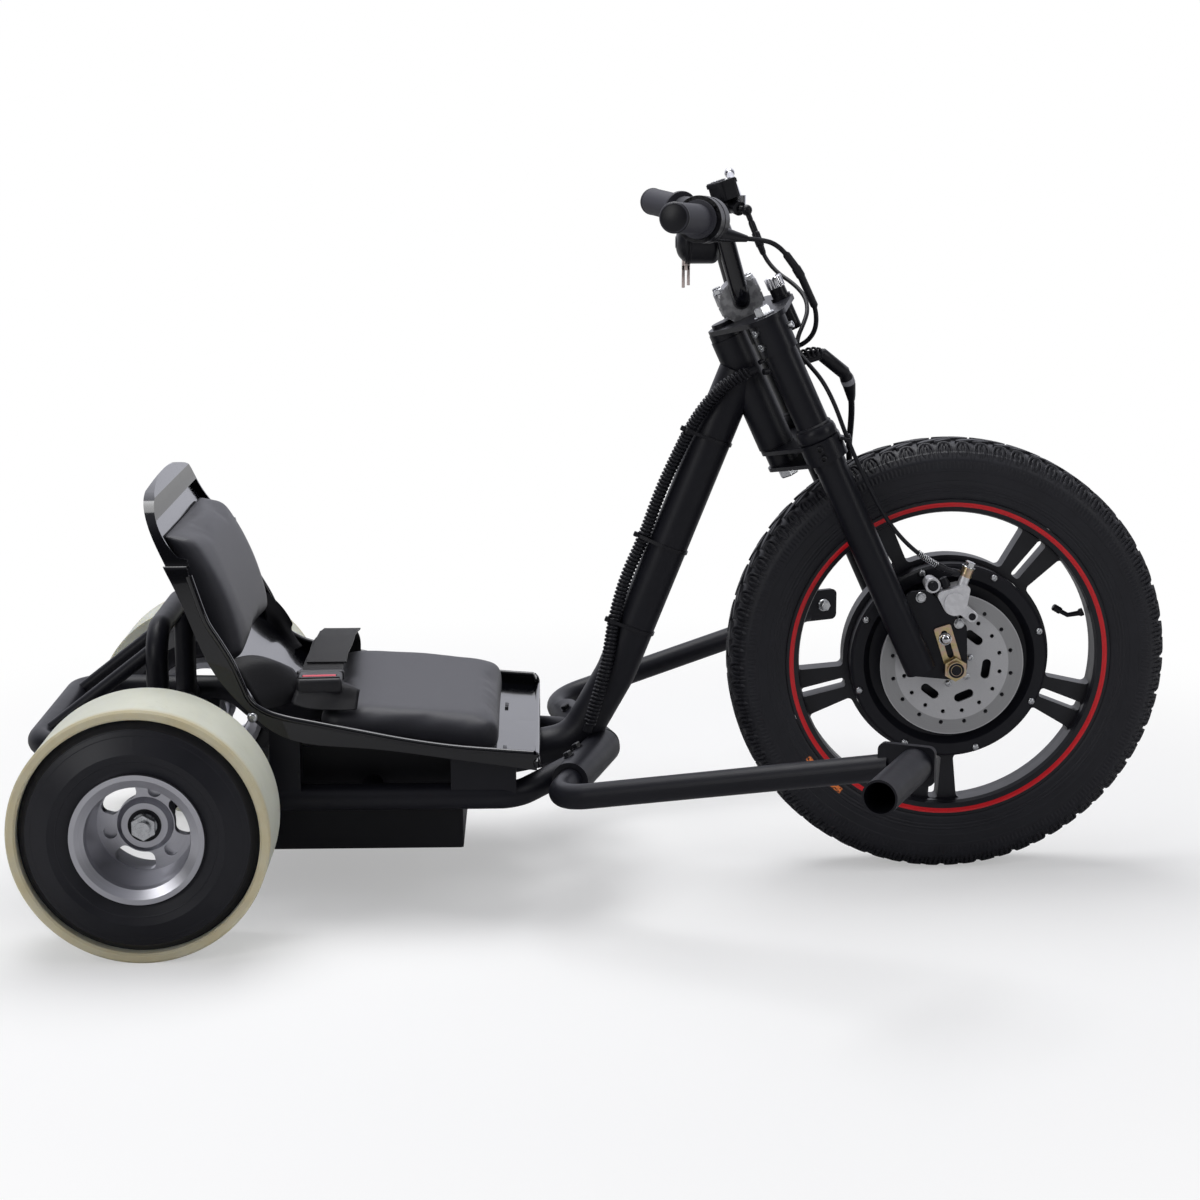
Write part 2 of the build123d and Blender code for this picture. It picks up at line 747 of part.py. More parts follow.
with BuildPart() as seat_rails:
    right = [
        on_socket(-1, 82) + Vector(-10, 0, 0),
        Vector(rail_front_x, -half_rails, rail_height),
        Vector(kick_start_x, -half_rails, rail_height),
        Vector(kick_end_x, -half_rails, axle_rail_height),
        Vector(tail_x, -half_tail, tail_height),
    ]
    left = [Vector(p.X, -p.Y, p.Z) for p in reversed(right)]
    tube(right + left, [50, 60, 60, 40, 40, 60, 60, 50], rail_r)
    for x in cross_places:
        rod(Vector(x, -half_rails, rail_height), Vector(x, half_rails, rail_height), cross_r)
    hoop_cross = Vector(hoop_x, half_rails, axle_rail_height)
    rod(hoop_cross, Vector(hoop_x, -half_rails, axle_rail_height), cross_r)
    for side in (1, -1):
        # plates that hang from the rails and hold the axle
        inner_face = side * half_rails - axle_plate_thickness / 2
        plate_middle = Vector(rear_axle_x, inner_face, axle_height)
        with BuildSketch(Plane(origin=plate_middle, x_dir=(-1, 0, 0), z_dir=(0, 1, 0))):
            with BuildLine():
                CenterArc((0, 0), 24, 0, 360)
                for x in (-axle_plate_spread, axle_plate_spread):
                    CenterArc((x, axle_rail_height - axle_height), 12, 0, 360)
            make_hull()
        extrude(amount=axle_plate_thickness)
        # brackets between the rails and the seat's shell
        for x, bracket_length in zip(bracket_places, seat_bracket_lengths):
            with BuildSketch(Plane(origin=(x, side * half_rails, rail_height))):
                Rectangle(bracket_length, seat_bracket_width)
            extrude(amount=seat_bracket_height)
    with BuildSketch(Plane(origin=(rear_axle_x, 0, axle_height), z_dir=(0, 1, 0))):
        Circle(rear_axle_r)
    extrude(amount=rail_spacing, both=True, mode=Mode.SUBTRACT)
    for side in (1, -1):
        rod(on_socket(side, 0), on_socket(side, socket_reach), socket_r, Mode.SUBTRACT)
    add(main_tube.part, mode=Mode.SUBTRACT)
    add(seat_shell.part, mode=Mode.SUBTRACT)
    add(seat_hollow.part, mode=Mode.SUBTRACT)
finish(seat_rails.part, "seat_rails")

# ----------------------------------------------------------------------------------------------
# Battery box between the rails, its upper part under the seat, and the controller's box before it
# ----------------------------------------------------------------------------------------------

box_top = rail_height - cross_r
with BuildPart() as battery_box:
    with BuildSketch(Plane(origin=(front_axle_x - box_front - box_length / 2, 0, box_floor))):
        Rectangle(box_length, box_width)
    extrude(amount=box_top - box_floor)
    with BuildSketch(Plane(origin=(front_axle_x - box_front - upper_box_length / 2, 0, box_top - 1))):
        Rectangle(upper_box_length, box_width)
    extrude(amount=upper_box_top - box_top + 1)
    controller_middle = front_axle_x - box_front + controller_length / 2
    with BuildSketch(Plane(origin=(controller_middle, 0, controller_floor))):
        Rectangle(controller_length, controller_width)
    extrude(amount=controller_top - controller_floor)
    fillet(battery_box.edges().filter_by(Axis.Z), 4)
    add(seat_rails.part, mode=Mode.SUBTRACT)
    add(main_tube.part, mode=Mode.SUBTRACT)
finish(battery_box.part, "battery_box")

# ----------------------------------------------------------------------------------------------
# Rear axle, and the hoop with its stays behind the seat
# ----------------------------------------------------------------------------------------------

with BuildPart() as rear_axle:
    nut_height = 9
    washer_height = 2
    half_axle = hub_face_y + nut_height + 8
    axle_tip = Vector(rear_axle_x, half_axle, axle_height)
    rod(Vector(rear_axle_x, -half_axle, axle_height), axle_tip, rear_axle_r)
    for side in (1, -1):
        plate_face = half_rails + axle_plate_thickness / 2
        spacer = Plane(origin=(rear_axle_x, side * plate_face, axle_height), z_dir=(0, side, 0))
        with BuildSketch(spacer):
            Circle(rear_spacer_r)
        extrude(amount=hub_inner_y - bearing_gap - plate_face)
        washer = spacer.offset(hub_face_y + bearing_gap - plate_face)
        with BuildSketch(washer):
            Circle(rear_spacer_r + 1.5)
        extrude(amount=washer_height)
        with BuildSketch(washer.offset(washer_height)):
            RegularPolygon(rear_nut_size / 2, 6, major_radius=False)
        extrude(amount=nut_height)
finish(rear_axle.part, "rear_axle")

hoop_r = hoop_od / 2
with BuildPart() as rear_frame:
    half_hoop = hoop_spacing / 2
    legs = [
        Vector(hoop_x, -half_hoop, axle_rail_height + 4),
        Vector(hoop_x, -half_hoop, hoop_height),
        Vector(hoop_x, half_hoop, hoop_height),
        Vector(hoop_x, half_hoop, axle_rail_height + 4),
    ]
    tube(legs, 38, hoop_r)
    for side in (1, -1):
        low = Vector(tail_x + 4, side * stay_spacing / 2, tail_height + 4)
        high = Vector(hoop_x - 4, side * stay_spacing / 2, hoop_height - 22)
        rod(low, high, stay_od / 2)
    add(seat_rails.part, mode=Mode.SUBTRACT)
finish(rear_frame.part, "rear_frame")

# ----------------------------------------------------------------------------------------------
# Fork: top plate, lower crown with its stem, tubes, legs, axle brackets and axle
# ----------------------------------------------------------------------------------------------

half_fork = fork_spacing / 2
upper_r = upper_leg_od / 2
lower_r = lower_leg_od / 2
collar_r = collar_od / 2
stem_r = stem_od / 2
head_top = head_length / 2
plate_under = head_top + top_plate_rise
plate_top = plate_under + top_plate_thickness
fork_places = ((clamp_offset, half_fork), (clamp_offset, -half_fork))
lock_cap_r = lock_cap_od / 2
lock_body_r = lock_body_od / 2

with BuildPart() as top_plate:
    with BuildSketch(steering.offset(plate_under)):
        with BuildLine():
            CenterArc((0, 0), top_plate_back, 0, 360)
            CenterArc((lock_offset, 0), lock_flange_od / 2 + 2, 0, 360)
            for place in fork_places:
                CenterArc(place, collar_r, 0, 360)
        make_hull()
    extrude(amount=top_plate_thickness)
    with BuildSketch(steering.offset(plate_under)):
        with Locations(*fork_places):
            Circle(upper_collar_od / 2)
    extrude(amount=-upper_collar_length)
    with BuildSketch(steering.offset(plate_top)):
        Circle(stem_r)
        with Locations((lock_offset, 0)):
            Circle(lock_cap_r)
        with Locations(*fork_places):
            Circle(upper_r)
    extrude(amount=-upper_collar_length - top_plate_thickness, mode=Mode.SUBTRACT)
finish(top_plate.part, "top_plate")

with BuildPart() as lower_crown:
    for level in (crown_under, crown_top - crown_plate):
        with BuildSketch(steering.offset(level)):
            with BuildLine():
                CenterArc((0, 0), crown_back, 0, 360)
                for place in fork_places:
                    CenterArc(place, collar_r, 0, 360)
            make_hull()
        extrude(amount=crown_plate)
    with BuildSketch(steering.offset(crown_under)):
        Circle(crown_neck_od / 2)
        with Locations(*fork_places):
            Circle(collar_r)
    extrude(amount=crown_top - crown_under)
    rod(steer(0, 0, crown_under), steer(0, 0, plate_top + 5), stem_r)
    # shoulders and bearings at the two ends of the head tube
    for end, shoulder in ((1, plate_under), (-1, crown_top)):
        seat = end * (head_top + bearing_gap)
        rod(steer(0, 0, seat), steer(0, 0, shoulder), head_r - 1)
        rod(steer(0, 0, seat), steer(0, 0, seat - end * bearing_height), head_bore - bearing_clearance)
    with BuildSketch(steering.offset(crown_under)):
        with Locations(*fork_places):
            Circle(upper_r)
    extrude(amount=crown_top - crown_under, mode=Mode.SUBTRACT)
finish(lower_crown.part, "lower_crown")

tube_foot_up = crown_under - 10
leg_end_up = -axle_drop + leg_overrun
bracket_y = half_fork - bracket_inset
# round corners of each side's bracket, from the axle: ahead, up, radius
plain_corners = ((0, 0, 19), (-axle_lead, 23, 15), (-axle_lead + 8, 67, 10))
brake_corners = ((0, 2, 17), (27, 42, 7), (3, 98, 7), (-12, 102, 8), (-axle_lead, 21, 14))

with BuildPart() as axle_brackets:
    for side, corners in ((1, plain_corners), (-1, brake_corners)):
        face_y = side * bracket_y + bracket_thickness / 2
        with BuildSketch(Plane(origin=at_axle(0, face_y, 0), x_dir=forward, z_dir=(0, -1, 0))):
            with BuildLine():
                for fore, up, corner_r in corners:
                    CenterArc((fore, up), corner_r, 0, 360)
            make_hull()
            Circle(front_axle_r, mode=Mode.SUBTRACT)
        extrude(amount=bracket_thickness)
finish(axle_brackets.part, "axle_brackets")

with BuildPart() as fork_upper_tubes:
    for fore, left in fork_places:
        rod(steer(fore, left, tube_foot_up), steer(fore, left, plate_top), upper_r)
finish(fork_upper_tubes.part, "fork_upper_tubes")

with BuildPart() as fork_lower_legs:
    for fore, left in fork_places:
        rod(steer(fore, left, leg_end_up), steer(fore, left, tube_foot_up), lower_r)
    add(axle_brackets.part, mode=Mode.SUBTRACT)
finish(fork_lower_legs.part, "fork_lower_legs")

bracket_outer = bracket_y + bracket_thickness / 2
tab_outer = bracket_outer + tab_thickness
tab_foot = tab_width / 2         # the tab reaches this far below the axle
tab_slot_width = 8
tab_slot_length = 36
tab_slot_middle = 32             # above the axle
tab_turn = radians(tab_lean)
tab_direction = upward * cos(tab_turn) + forward * sin(tab_turn)
with BuildPart() as axle_tabs:
    for side in (1, -1):
        tab_root = front_centre + Vector(0, side * bracket_outer, 0)
        with BuildSketch(Plane(origin=tab_root, x_dir=tab_direction, z_dir=(0, side, 0))):
            with Locations(((tab_reach - tab_foot) / 2, 0)):
                RectangleRounded(tab_reach + tab_foot, tab_width, 3)
            Circle(front_axle_r, mode=Mode.SUBTRACT)
            with Locations((tab_slot_middle, 0)):
                SlotOverall(tab_slot_length, tab_slot_width, mode=Mode.SUBTRACT)
        extrude(amount=tab_thickness)
finish(axle_tabs.part, "axle_tabs")

nut_outer = tab_outer + front_nut_height
axle_end = nut_outer + axle_cap_length
with BuildPart() as front_axle:
    rod(front_centre - Vector(0, axle_end, 0), front_centre + Vector(0, axle_end, 0), front_axle_r)
    for side, spacer_start in ((1, half_motor), (-1, disc_face + disc_thickness)):
        spacer_foot = front_centre + Vector(0, side * (spacer_start + bearing_gap), 0)
        bracket_inner = front_centre + Vector(0, side * (bracket_y - bracket_thickness / 2), 0)
        rod(spacer_foot, bracket_inner, front_spacer_r)
        with BuildSketch(Plane(origin=front_centre + Vector(0, side * tab_outer, 0), z_dir=(0, side, 0))):
            RegularPolygon(front_nut_size / 2, 6, major_radius=False)
        extrude(amount=front_nut_height)
        nut_face = front_centre + Vector(0, side * nut_outer, 0)
        rod(nut_face, nut_face + Vector(0, side * axle_cap_length, 0), axle_cap_od / 2)
finish(front_axle.part, "front_axle")

# ----------------------------------------------------------------------------------------------
# Handlebar with its clamp, grips and controls
# ----------------------------------------------------------------------------------------------

bar_middle = steer(bar_offset, 0, plate_top + bar_stand)


def on_bar(fore, left, up):
    """Place measured level from the bar's middle in its clamp."""
    return bar_middle + Vector(fore, left, up)


bar_points = [on_bar(0, 34, 0), on_bar(-28, 46, 96), on_bar(-43, 100, 100.5), on_bar(-95, 243, 110)]
bar_right = [Vector(p.X, -p.Y, p.Z) for p in reversed(bar_points)]
with BuildPart() as handlebar:
    tube(bar_right + bar_points, [150, 28, 22, 22, 28, 150], bar_r)
finish(handlebar.part, "handlebar")

with BuildPart() as bar_clamp:
    clamp_r = clamp_od / 2
    rod(bar_middle - Vector(0, clamp_width / 2, 0), bar_middle + Vector(0, clamp_width / 2, 0), clamp_r)
    with BuildSketch(steering.offset(plate_top)):
        with Locations((bar_offset, 0)):
            Rectangle(clamp_r * 1.4, clamp_width)
    extrude(amount=bar_stand)
    add(handlebar.part, mode=Mode.SUBTRACT)
    with BuildSketch(steering.offset(plate_top)):
        Circle(stem_r + 0.3)
    extrude(amount=5.3, mode=Mode.SUBTRACT)
    with BuildSketch(steering.offset(plate_top)):
        Rectangle(300, 300)
    extrude(amount=-40, mode=Mode.SUBTRACT)
finish(bar_clamp.part, "bar_clamp")


def on_grip(side, inward):
    """Place on the axis of one end of the bar, measured inwards from its tip."""
    tip = Vector(bar_points[-1].X, side * bar_points[-1].Y, bar_points[-1].Z)
    bend = Vector(bar_points[-2].X, side * bar_points[-2].Y, bar_points[-2].Z)
    return toward(tip, bend, inward)


grip_cap = 3                     # of rubber beyond the bar's end
grip_flange = 5
for side, name in ((1, "grip_left"), (-1, "twist_grip")):
    with BuildPart() as grip:
        rod(on_grip(side, -grip_cap), on_grip(side, grip_length), grip_r)
        rod(on_grip(side, grip_length - grip_flange), on_grip(side, grip_length), grip_r + grip_flange)
        add(handlebar.part, mode=Mode.SUBTRACT)
    finish(grip.part, name)

bell_start = grip_length + 1
spout_foot_r = 13
spout_tip_r = 4
with BuildPart() as throttle_housing:
    rod(on_grip(-1, bell_start), on_grip(-1, bell_start + bell_length), bell_od / 2)
    spout_root = on_grip(-1, bell_start + bell_length / 2) + Vector(2, 4, -13)
    spout_tip = on_bar(-1.5, -98, 79)
    with BuildSketch(Plane(origin=spout_root, z_dir=spout_tip - spout_root)):
        Circle(spout_foot_r)
    with BuildSketch(Plane(origin=spout_tip, z_dir=spout_tip - spout_root)):
        Circle(spout_tip_r)
    loft()
    add(handlebar.part, mode=Mode.SUBTRACT)
finish(throttle_housing.part, "throttle_housing")

master_ring_r = 17
cylinder_r = 9
banjo_r = 7
banjo_neck_r = 3.5
cylinder_outer = on_bar(-10, 138, 114.6)
cylinder_inner = on_bar(7, 99, 106)
banjo = on_bar(15.7, 96, 104.3)
hose_start = banjo + Vector(0.35, -0.2, -0.9).normalized() * 2 * banjo_r
tank_up = Vector(-sin(radians(tank_lean)), 0, cos(radians(tank_lean)))
tank_foot = on_bar(-8, 117, 117)
bar_run = on_grip(1, 0) - on_grip(1, grip_length)
with BuildPart() as brake_master:
    rod(on_grip(1, grip_length + 10), on_grip(1, grip_length + 36), master_ring_r)
    rod(on_grip(1, grip_length + 23), (cylinder_outer + cylinder_inner) / 2, 11)
    rod(cylinder_outer, cylinder_inner, cylinder_r)
    rod(cylinder_inner, banjo, banjo_neck_r + 1)
    rod(banjo, hose_start, banjo_neck_r)
    with Locations(banjo):
        Sphere(banjo_r)
    with BuildSketch(Plane(origin=tank_foot, x_dir=bar_run, z_dir=tank_up)):
        RectangleRounded(tank_length, tank_width, 4)
    extrude(amount=tank_height)
    with BuildSketch(Plane(origin=tank_foot + tank_up * tank_height, x_dir=bar_run, z_dir=tank_up)):
        RectangleRounded(tank_length + 3, tank_width + 3, 5)
    extrude(amount=tank_lid)
    add(handlebar.part, mode=Mode.SUBTRACT)
finish(brake_master.part, "brake_master")

lever_pivot = on_bar(9, 122, 116)
lever_end = on_bar(4.4, 225, 147)
with BuildPart() as brake_lever:
    rod(lever_pivot - Vector(0, 0, 6), lever_pivot + Vector(0, 0, 6), 8)
    rod(lever_pivot, lever_end, 4.5)
    with Locations(lever_end):
        Sphere(ball_r)
    add(brake_master.part, mode=Mode.SUBTRACT)
finish(brake_lever.part, "brake_lever")

gauge_r = gauge_od / 2
gauge_back = on_bar(-79, -10, 70.6)
gauge_front = gauge_back + Vector(gauge_length, 0, 0)
left_upright = bar_points[1] - bar_points[0]
gauge_post = bar_points[0] + left_upright * 0.72
with BuildPart() as gauge_switch:
    rod(gauge_back, gauge_front, gauge_r)
    fillet(gauge_switch.edges().filter_by(GeomType.CIRCLE).sort_by(Axis.X)[0], 20)
    fillet(gauge_switch.edges().filter_by(GeomType.CIRCLE).sort_by(Axis.X)[-1], 8)
    ring_half = left_upright.normalized() * 8
    rod(gauge_post - ring_half, gauge_post + ring_half, bar_r + 4)
    rod((gauge_back + gauge_front) / 2, gauge_post, 6)
    add(handlebar.part, mode=Mode.SUBTRACT)
finish(gauge_switch.part, "gauge_switch")

key_top = gauge_back + Vector(12, 0, -15)
with BuildPart() as key:
    rod(key_top, key_top + Vector(0, 0, -13), 4.5)
    with BuildSketch(Plane(origin=key_top + Vector(0, 1, -23), x_dir=(1, 0, 0), z_dir=(0, -1, 0))):
        RectangleRounded(10, 34, 3)
    extrude(amount=2)
    add(gauge_switch.part, mode=Mode.SUBTRACT)
finish(key.part, "key")

lock_foot = plate_under - lock_depth
with BuildPart() as lock_barrel:
    rod(steer(lock_offset, 0, plate_under), steer(lock_offset, 0, plate_top + lock_stand), lock_cap_r)
    rod(steer(lock_offset, 0, plate_top), steer(lock_offset, 0, plate_top + 4), lock_flange_od / 2)
    rod(steer(lock_offset, 0, lock_foot), steer(lock_offset, 0, plate_under), lock_body_r)
finish(lock_barrel.part, "lock_barrel")

# ----------------------------------------------------------------------------------------------
# Brake caliper astride the disc
# ----------------------------------------------------------------------------------------------

caliper_gap = 2.5                # between the disc and each half of the caliper
caliper_inner = half_motor + 7
caliper_depth = 34
caliper_cap_r = 14
caliper_cap = (32, 74.7)         # its middle ahead of the axle and above it
# round corners of the caliper's body, from the axle: ahead, up, radius
caliper_corners = ((22, 90, 6), (50, 85, 6), (32, 74.7, 15))
ear = (45, 50)
banjo_foot = at_axle(48, -(caliper_inner + 22), 88)
banjo_seat = at_axle(58.5, -(caliper_inner + 22), 99.5)
bolt_end = at_axle(66, -(caliper_inner + 22), 107)
with BuildPart() as brake_caliper:
    caliper_plane = Plane(origin=front_centre, x_dir=forward, z_dir=(0, -1, 0))
    with BuildSketch(caliper_plane.offset(caliper_inner)):
        with BuildLine():
            for fore, up, corner_r in caliper_corners:
                CenterArc((fore, up), corner_r, 0, 360)
        make_hull()
    extrude(amount=caliper_depth)
    with BuildSketch(caliper_plane.offset(caliper_inner + 16)):
        with BuildLine():
            CenterArc(caliper_cap, 8, 0, 360)
            CenterArc(ear, 6.7, 0, 360)
        make_hull()
    extrude(amount=14)
    with BuildSketch(caliper_plane.offset(disc_face - caliper_gap)):
        Circle(disc_r + 3)
    extrude(amount=disc_thickness + 2 * caliper_gap, mode=Mode.SUBTRACT)
    with BuildSketch(caliper_plane.offset(caliper_inner + caliper_depth)):
        with Locations(caliper_cap):
            Circle(caliper_cap_r)
    extrude(amount=4)
    rod(banjo_foot, banjo_seat, 6.5)
    rod(banjo_seat, bolt_end, 6)
    add(axle_brackets.part, mode=Mode.SUBTRACT)
    add(axle_tabs.part, mode=Mode.SUBTRACT)
finish(brake_caliper.part, "brake_caliper")

# ----------------------------------------------------------------------------------------------
# Cables
# ----------------------------------------------------------------------------------------------

hose_points = [
    hose_start,
    steer(86.5, 88, 160),
    steer(84, 77, 134),
    steer(90, 60, 112),
    steer(101, 42, 95),
    steer(107, 22, 77),
    steer(102, 2, 61),
    steer(89, -14, 50),
    steer(75, -27, 40),
    steer(67, -41, 27),
    steer(72, -57, 10),
    steer(79, -73, -14),
    steer(80, -87, -44),
    steer(77, -94, -80),
    steer(76, -95, -120),
    steer(78, -91, -165),
    steer(82, -85, -205),
    at_axle(9, -80, 163),
    at_axle(25, -76, 135),
    at_axle(42, -72, 112),
    at_axle(53, -69, 104),
]
cord("brake_hose", hose_points, 2.7)

throttle_points = [
    spout_tip,
    steer(76, -93, 173),
    steer(92, -83, 160),
    steer(101, -72, 138),
    steer(106, -60, 112),
    steer(109, -49, 84),
    steer(107, -38, 58),
    steer(98, -27, 38),
    steer(82, -17, 28),
    steer(60, -14, 34),
    steer(38, -23, 42),
    steer(20, -32, 43),
]
cord("throttle_cable", throttle_points, 3)

motor_points = [
    steer(20, -36, 11),
    steer(38, -28, 8),
    steer(60, -16, 9),
    steer(82, -9, 15),
    steer(98, 1, 3),
    steer(110, 12, -18),
    steer(115, 24, -42),
    steer(109, 36, -70),
    steer(98, 48, -97),
    steer(84, 60, -125),
    at_axle(-11, 74, 248),
    at_axle(-13, 87, 205),
    at_axle(-13, 92, 160),
    at_axle(-13, 94, 115),
    at_axle(-11, 100, 74),
    at_axle(-6, 113, 40),
    at_axle(-2, 124, 16),
    at_axle(0, 120, 0),
    at_axle(0, axle_end, 0),
]
cord("motor_cable", motor_points, 4)

harness_r = 6
harness_side = spine_r + harness_r + soft_clearance
tube_run = (tube_knee - tube_top).normalized()
tube_back = Vector(tube_run.Z, 0, -tube_run.X)


def on_tube(down, back, left):
    """Place measured from the down tube's top: down its axis, behind it and to the left."""
    return tube_top + tube_run * down + tube_back * back + Vector(0, left, 0)


harness_points = [
    steer(14, -34, 27),
    steer(-14, -34, 27),
    on_tube(28, 18, -harness_side),
    on_tube(70, 30, -22),
    on_tube(120, 33, -10),
    on_tube(175, 35, -6),
    on_tube(235, 32, -6),
    on_tube(290, 35, -8),
    on_tube(345, 29, -16),
    on_tube(392, 18, -28),
    behind(441, -harness_side, 222),
    behind(452, -harness_side, 186),
]
cord("wiring_harness", harness_points, harness_r)
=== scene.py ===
# %% [markdown]
# # An electric drift trike, dressed in Blender
# A low three-wheeler: a hub motor in the front wheel, a bucket seat between two small rear wheels, and
# plastic sleeves on those wheels that let the tail slide. The solids come packed from CAD and never move
# here. This lesson gives them their finishes, swaps the soft and rubber solids for detailed pieces, and
# adds screws, cables, cushions and ties.

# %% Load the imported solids
import json
from math import atan2, cos, pi, radians, sin, tau

import bmesh
import bpy
from mathutils import Matrix, Quaternion, Vector


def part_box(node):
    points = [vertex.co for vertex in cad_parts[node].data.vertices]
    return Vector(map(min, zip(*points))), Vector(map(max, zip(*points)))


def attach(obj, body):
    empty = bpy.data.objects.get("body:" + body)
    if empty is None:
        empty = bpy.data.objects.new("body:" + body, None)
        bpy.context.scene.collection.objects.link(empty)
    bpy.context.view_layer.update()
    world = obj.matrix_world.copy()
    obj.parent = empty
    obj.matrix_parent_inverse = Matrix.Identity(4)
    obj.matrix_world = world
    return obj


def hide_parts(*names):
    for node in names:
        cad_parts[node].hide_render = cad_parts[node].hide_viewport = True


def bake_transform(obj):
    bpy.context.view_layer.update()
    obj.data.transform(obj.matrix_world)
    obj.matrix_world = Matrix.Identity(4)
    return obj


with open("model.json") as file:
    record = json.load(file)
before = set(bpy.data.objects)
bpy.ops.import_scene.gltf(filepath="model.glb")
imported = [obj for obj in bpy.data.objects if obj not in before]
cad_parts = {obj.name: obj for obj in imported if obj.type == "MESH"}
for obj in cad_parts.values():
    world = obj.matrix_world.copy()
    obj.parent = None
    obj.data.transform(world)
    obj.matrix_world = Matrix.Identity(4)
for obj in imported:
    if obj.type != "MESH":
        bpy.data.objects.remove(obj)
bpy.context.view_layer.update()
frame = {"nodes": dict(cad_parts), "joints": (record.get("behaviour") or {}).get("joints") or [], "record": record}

scene = bpy.context.scene
joints = {joint["name"]: joint for joint in frame["joints"]}

# %% [markdown]
# Positions are measured along the fork, because the whole front of the trike leans with it. Two small
# functions turn such a measure into a place: one counts from the head tube, the other from the front axle.

# %% Places along the fork, the down tube and the handlebar
upward = Vector(joints["steering_turn"]["axis"])
forward = Vector((upward.z, 0, -upward.x))
front_axle = Vector(joints["front_wheel_spin"]["pos_m"])
rear_axle = Vector((joints["rear_left_spin"]["pos_m"][0], 0, joints["rear_left_spin"]["pos_m"][2]))
fork_rise, fork_setback = 0.407, 0.085
head = front_axle - forward * fork_setback + upward * fork_rise


def steer(fore, left, up):
    return head + forward * fore + Vector((0, left, 0)) + upward * up


def at_axle(fore, left, up):
    return front_axle + forward * fore + Vector((0, left, 0)) + upward * up


def behind(distance, left, height):
    return Vector((front_axle.x - distance, left, height))


bar_middle = steer(0.031, 0, 0.108)


def on_bar(fore, left, up):
    return bar_middle + Vector((fore, left, up))


tube_top = steer(-0.0054, 0, 0.0286)
tube_run = (behind(0.415, 0, 0.255) - tube_top).normalized()
tube_back = Vector((tube_run.z, 0, -tube_run.x))


def on_tube(down, back, left):
    return tube_top + tube_run * down + tube_back * back + Vector((0, left, 0))


print("front axle", front_axle, "head", head)

# %% [markdown]
# A product is looked at from a short way above its middle with a long lens, which keeps its wheels round.
# The camera stands on the right of the trike, turned a degree and a half forward.

# %% Camera
lens = bpy.data.cameras.new("studio_camera")
lens.lens = 69.42
lens.sensor_width = 36
lens.clip_start = 0.05
camera = bpy.data.objects.new("studio_camera", lens)
scene.collection.objects.link(camera)
sight_right = Vector((0.99962778, -0.02719722, -0.00214641))
sight_up = Vector((0.00768664, 0.20528386, 0.97867229))
sight_line = Vector((0.02617655, 0.97832451, -0.20541651))
camera_turn = Matrix((sight_right, sight_up, -sight_line)).transposed().to_4x4()
camera_place = (front_axle.x - 0.51054, -2.83841, 0.94352)
camera.matrix_world = Matrix.Translation(camera_place) @ camera_turn
scene.camera = camera
print("camera at", camera.matrix_world.translation)

# %% [markdown]
# Cables are the pieces that look wrong first when they are drawn as bent wire. Each one here is a single
# NURBS spline: its points are places that the cable passes near, and the spline rounds every turn by
# itself. The order is set after the points, or the spline would stay a chain of straight runs.

# %% How a cable is made
def drawn_curve(name, kind, points, thickness, roundness):
    """A round bar along points, as a curve object, and the spline in it."""
    data = bpy.data.curves.new(name, "CURVE")
    data.dimensions = "3D"
    data.bevel_depth = thickness / 2
    data.bevel_resolution = roundness
    data.use_fill_caps = True
    spline = data.splines.new(kind)
    spline.points.add(len(points) - 1)
    for point, place in zip(spline.points, points):
        point.co = (*place, 1)
    drawn = bpy.data.objects.new(name, data)
    scene.collection.objects.link(drawn)
    return drawn, spline


def cable_curve(name, points, thickness):
    cable, spline = drawn_curve(name, "NURBS", points, thickness, 3)
    cable.data.resolution_u = 8
    spline.order_u = 3
    spline.use_endpoint_u = True
    return cable


def as_mesh(piece):
    """The piece as it is seen, as a plain mesh with no modifiers."""
    return bpy.data.meshes.new_from_object(piece.evaluated_get(bpy.context.evaluated_depsgraph_get()))


def line_of(cable):
    """Points along a cable's middle, read from its own spline."""
    bare = cable.copy()
    bare.data = cable.data.copy()
    bare.data.bevel_depth = 0
    bare.data.use_fill_caps = False
    scene.collection.objects.link(bare)
    mesh = as_mesh(bare)
    points = [vertex.co.copy() for vertex in mesh.vertices]
    bpy.data.objects.remove(bare)
    return points


def frozen(drawn):
    """A drawn curve as a plain mesh under the same name."""
    name = drawn.name
    drawn.name = name + "_drawn"
    piece = bpy.data.objects.new(name, as_mesh(drawn))
    scene.collection.objects.link(piece)
    bpy.data.objects.remove(drawn)
    return piece


def as_hose(cable):
    """The same cable as a plain mesh, and its line."""
    line = line_of(cable)
    return frozen(cable), line


# %% Routes of the four cables
# steer and at_axle take (fore, left, up), on_tube (down, back, left) and behind (distance, left, height)
axle_end = 0.093
harness_side = 0.0313
banjo = on_bar(0.0157, 0.096, 0.1043)
hose_start = banjo + Vector((0.35, -0.2, -0.9)).normalized() * 0.014
spout_tip = on_bar(-0.0015, -0.098, 0.079)
hose_points = [hose_start]
hose_points += [steer(*place) for place in (
    (0.0865, 0.088, 0.16), (0.084, 0.077, 0.134), (0.09, 0.06, 0.112), (0.101, 0.042, 0.095),
    (0.107, 0.022, 0.077), (0.102, 0.002, 0.061), (0.089, -0.014, 0.05), (0.075, -0.027, 0.04),
    (0.067, -0.041, 0.027), (0.072, -0.057, 0.01), (0.079, -0.073, -0.014), (0.08, -0.087, -0.044),
    (0.077, -0.094, -0.08), (0.076, -0.095, -0.12), (0.078, -0.091, -0.165), (0.082, -0.085, -0.205),
)]
hose_points += [at_axle(*place) for place in (
    (0.009, -0.08, 0.163), (0.025, -0.076, 0.135), (0.042, -0.072, 0.112), (0.053, -0.069, 0.104),
)]
throttle_points = [spout_tip]
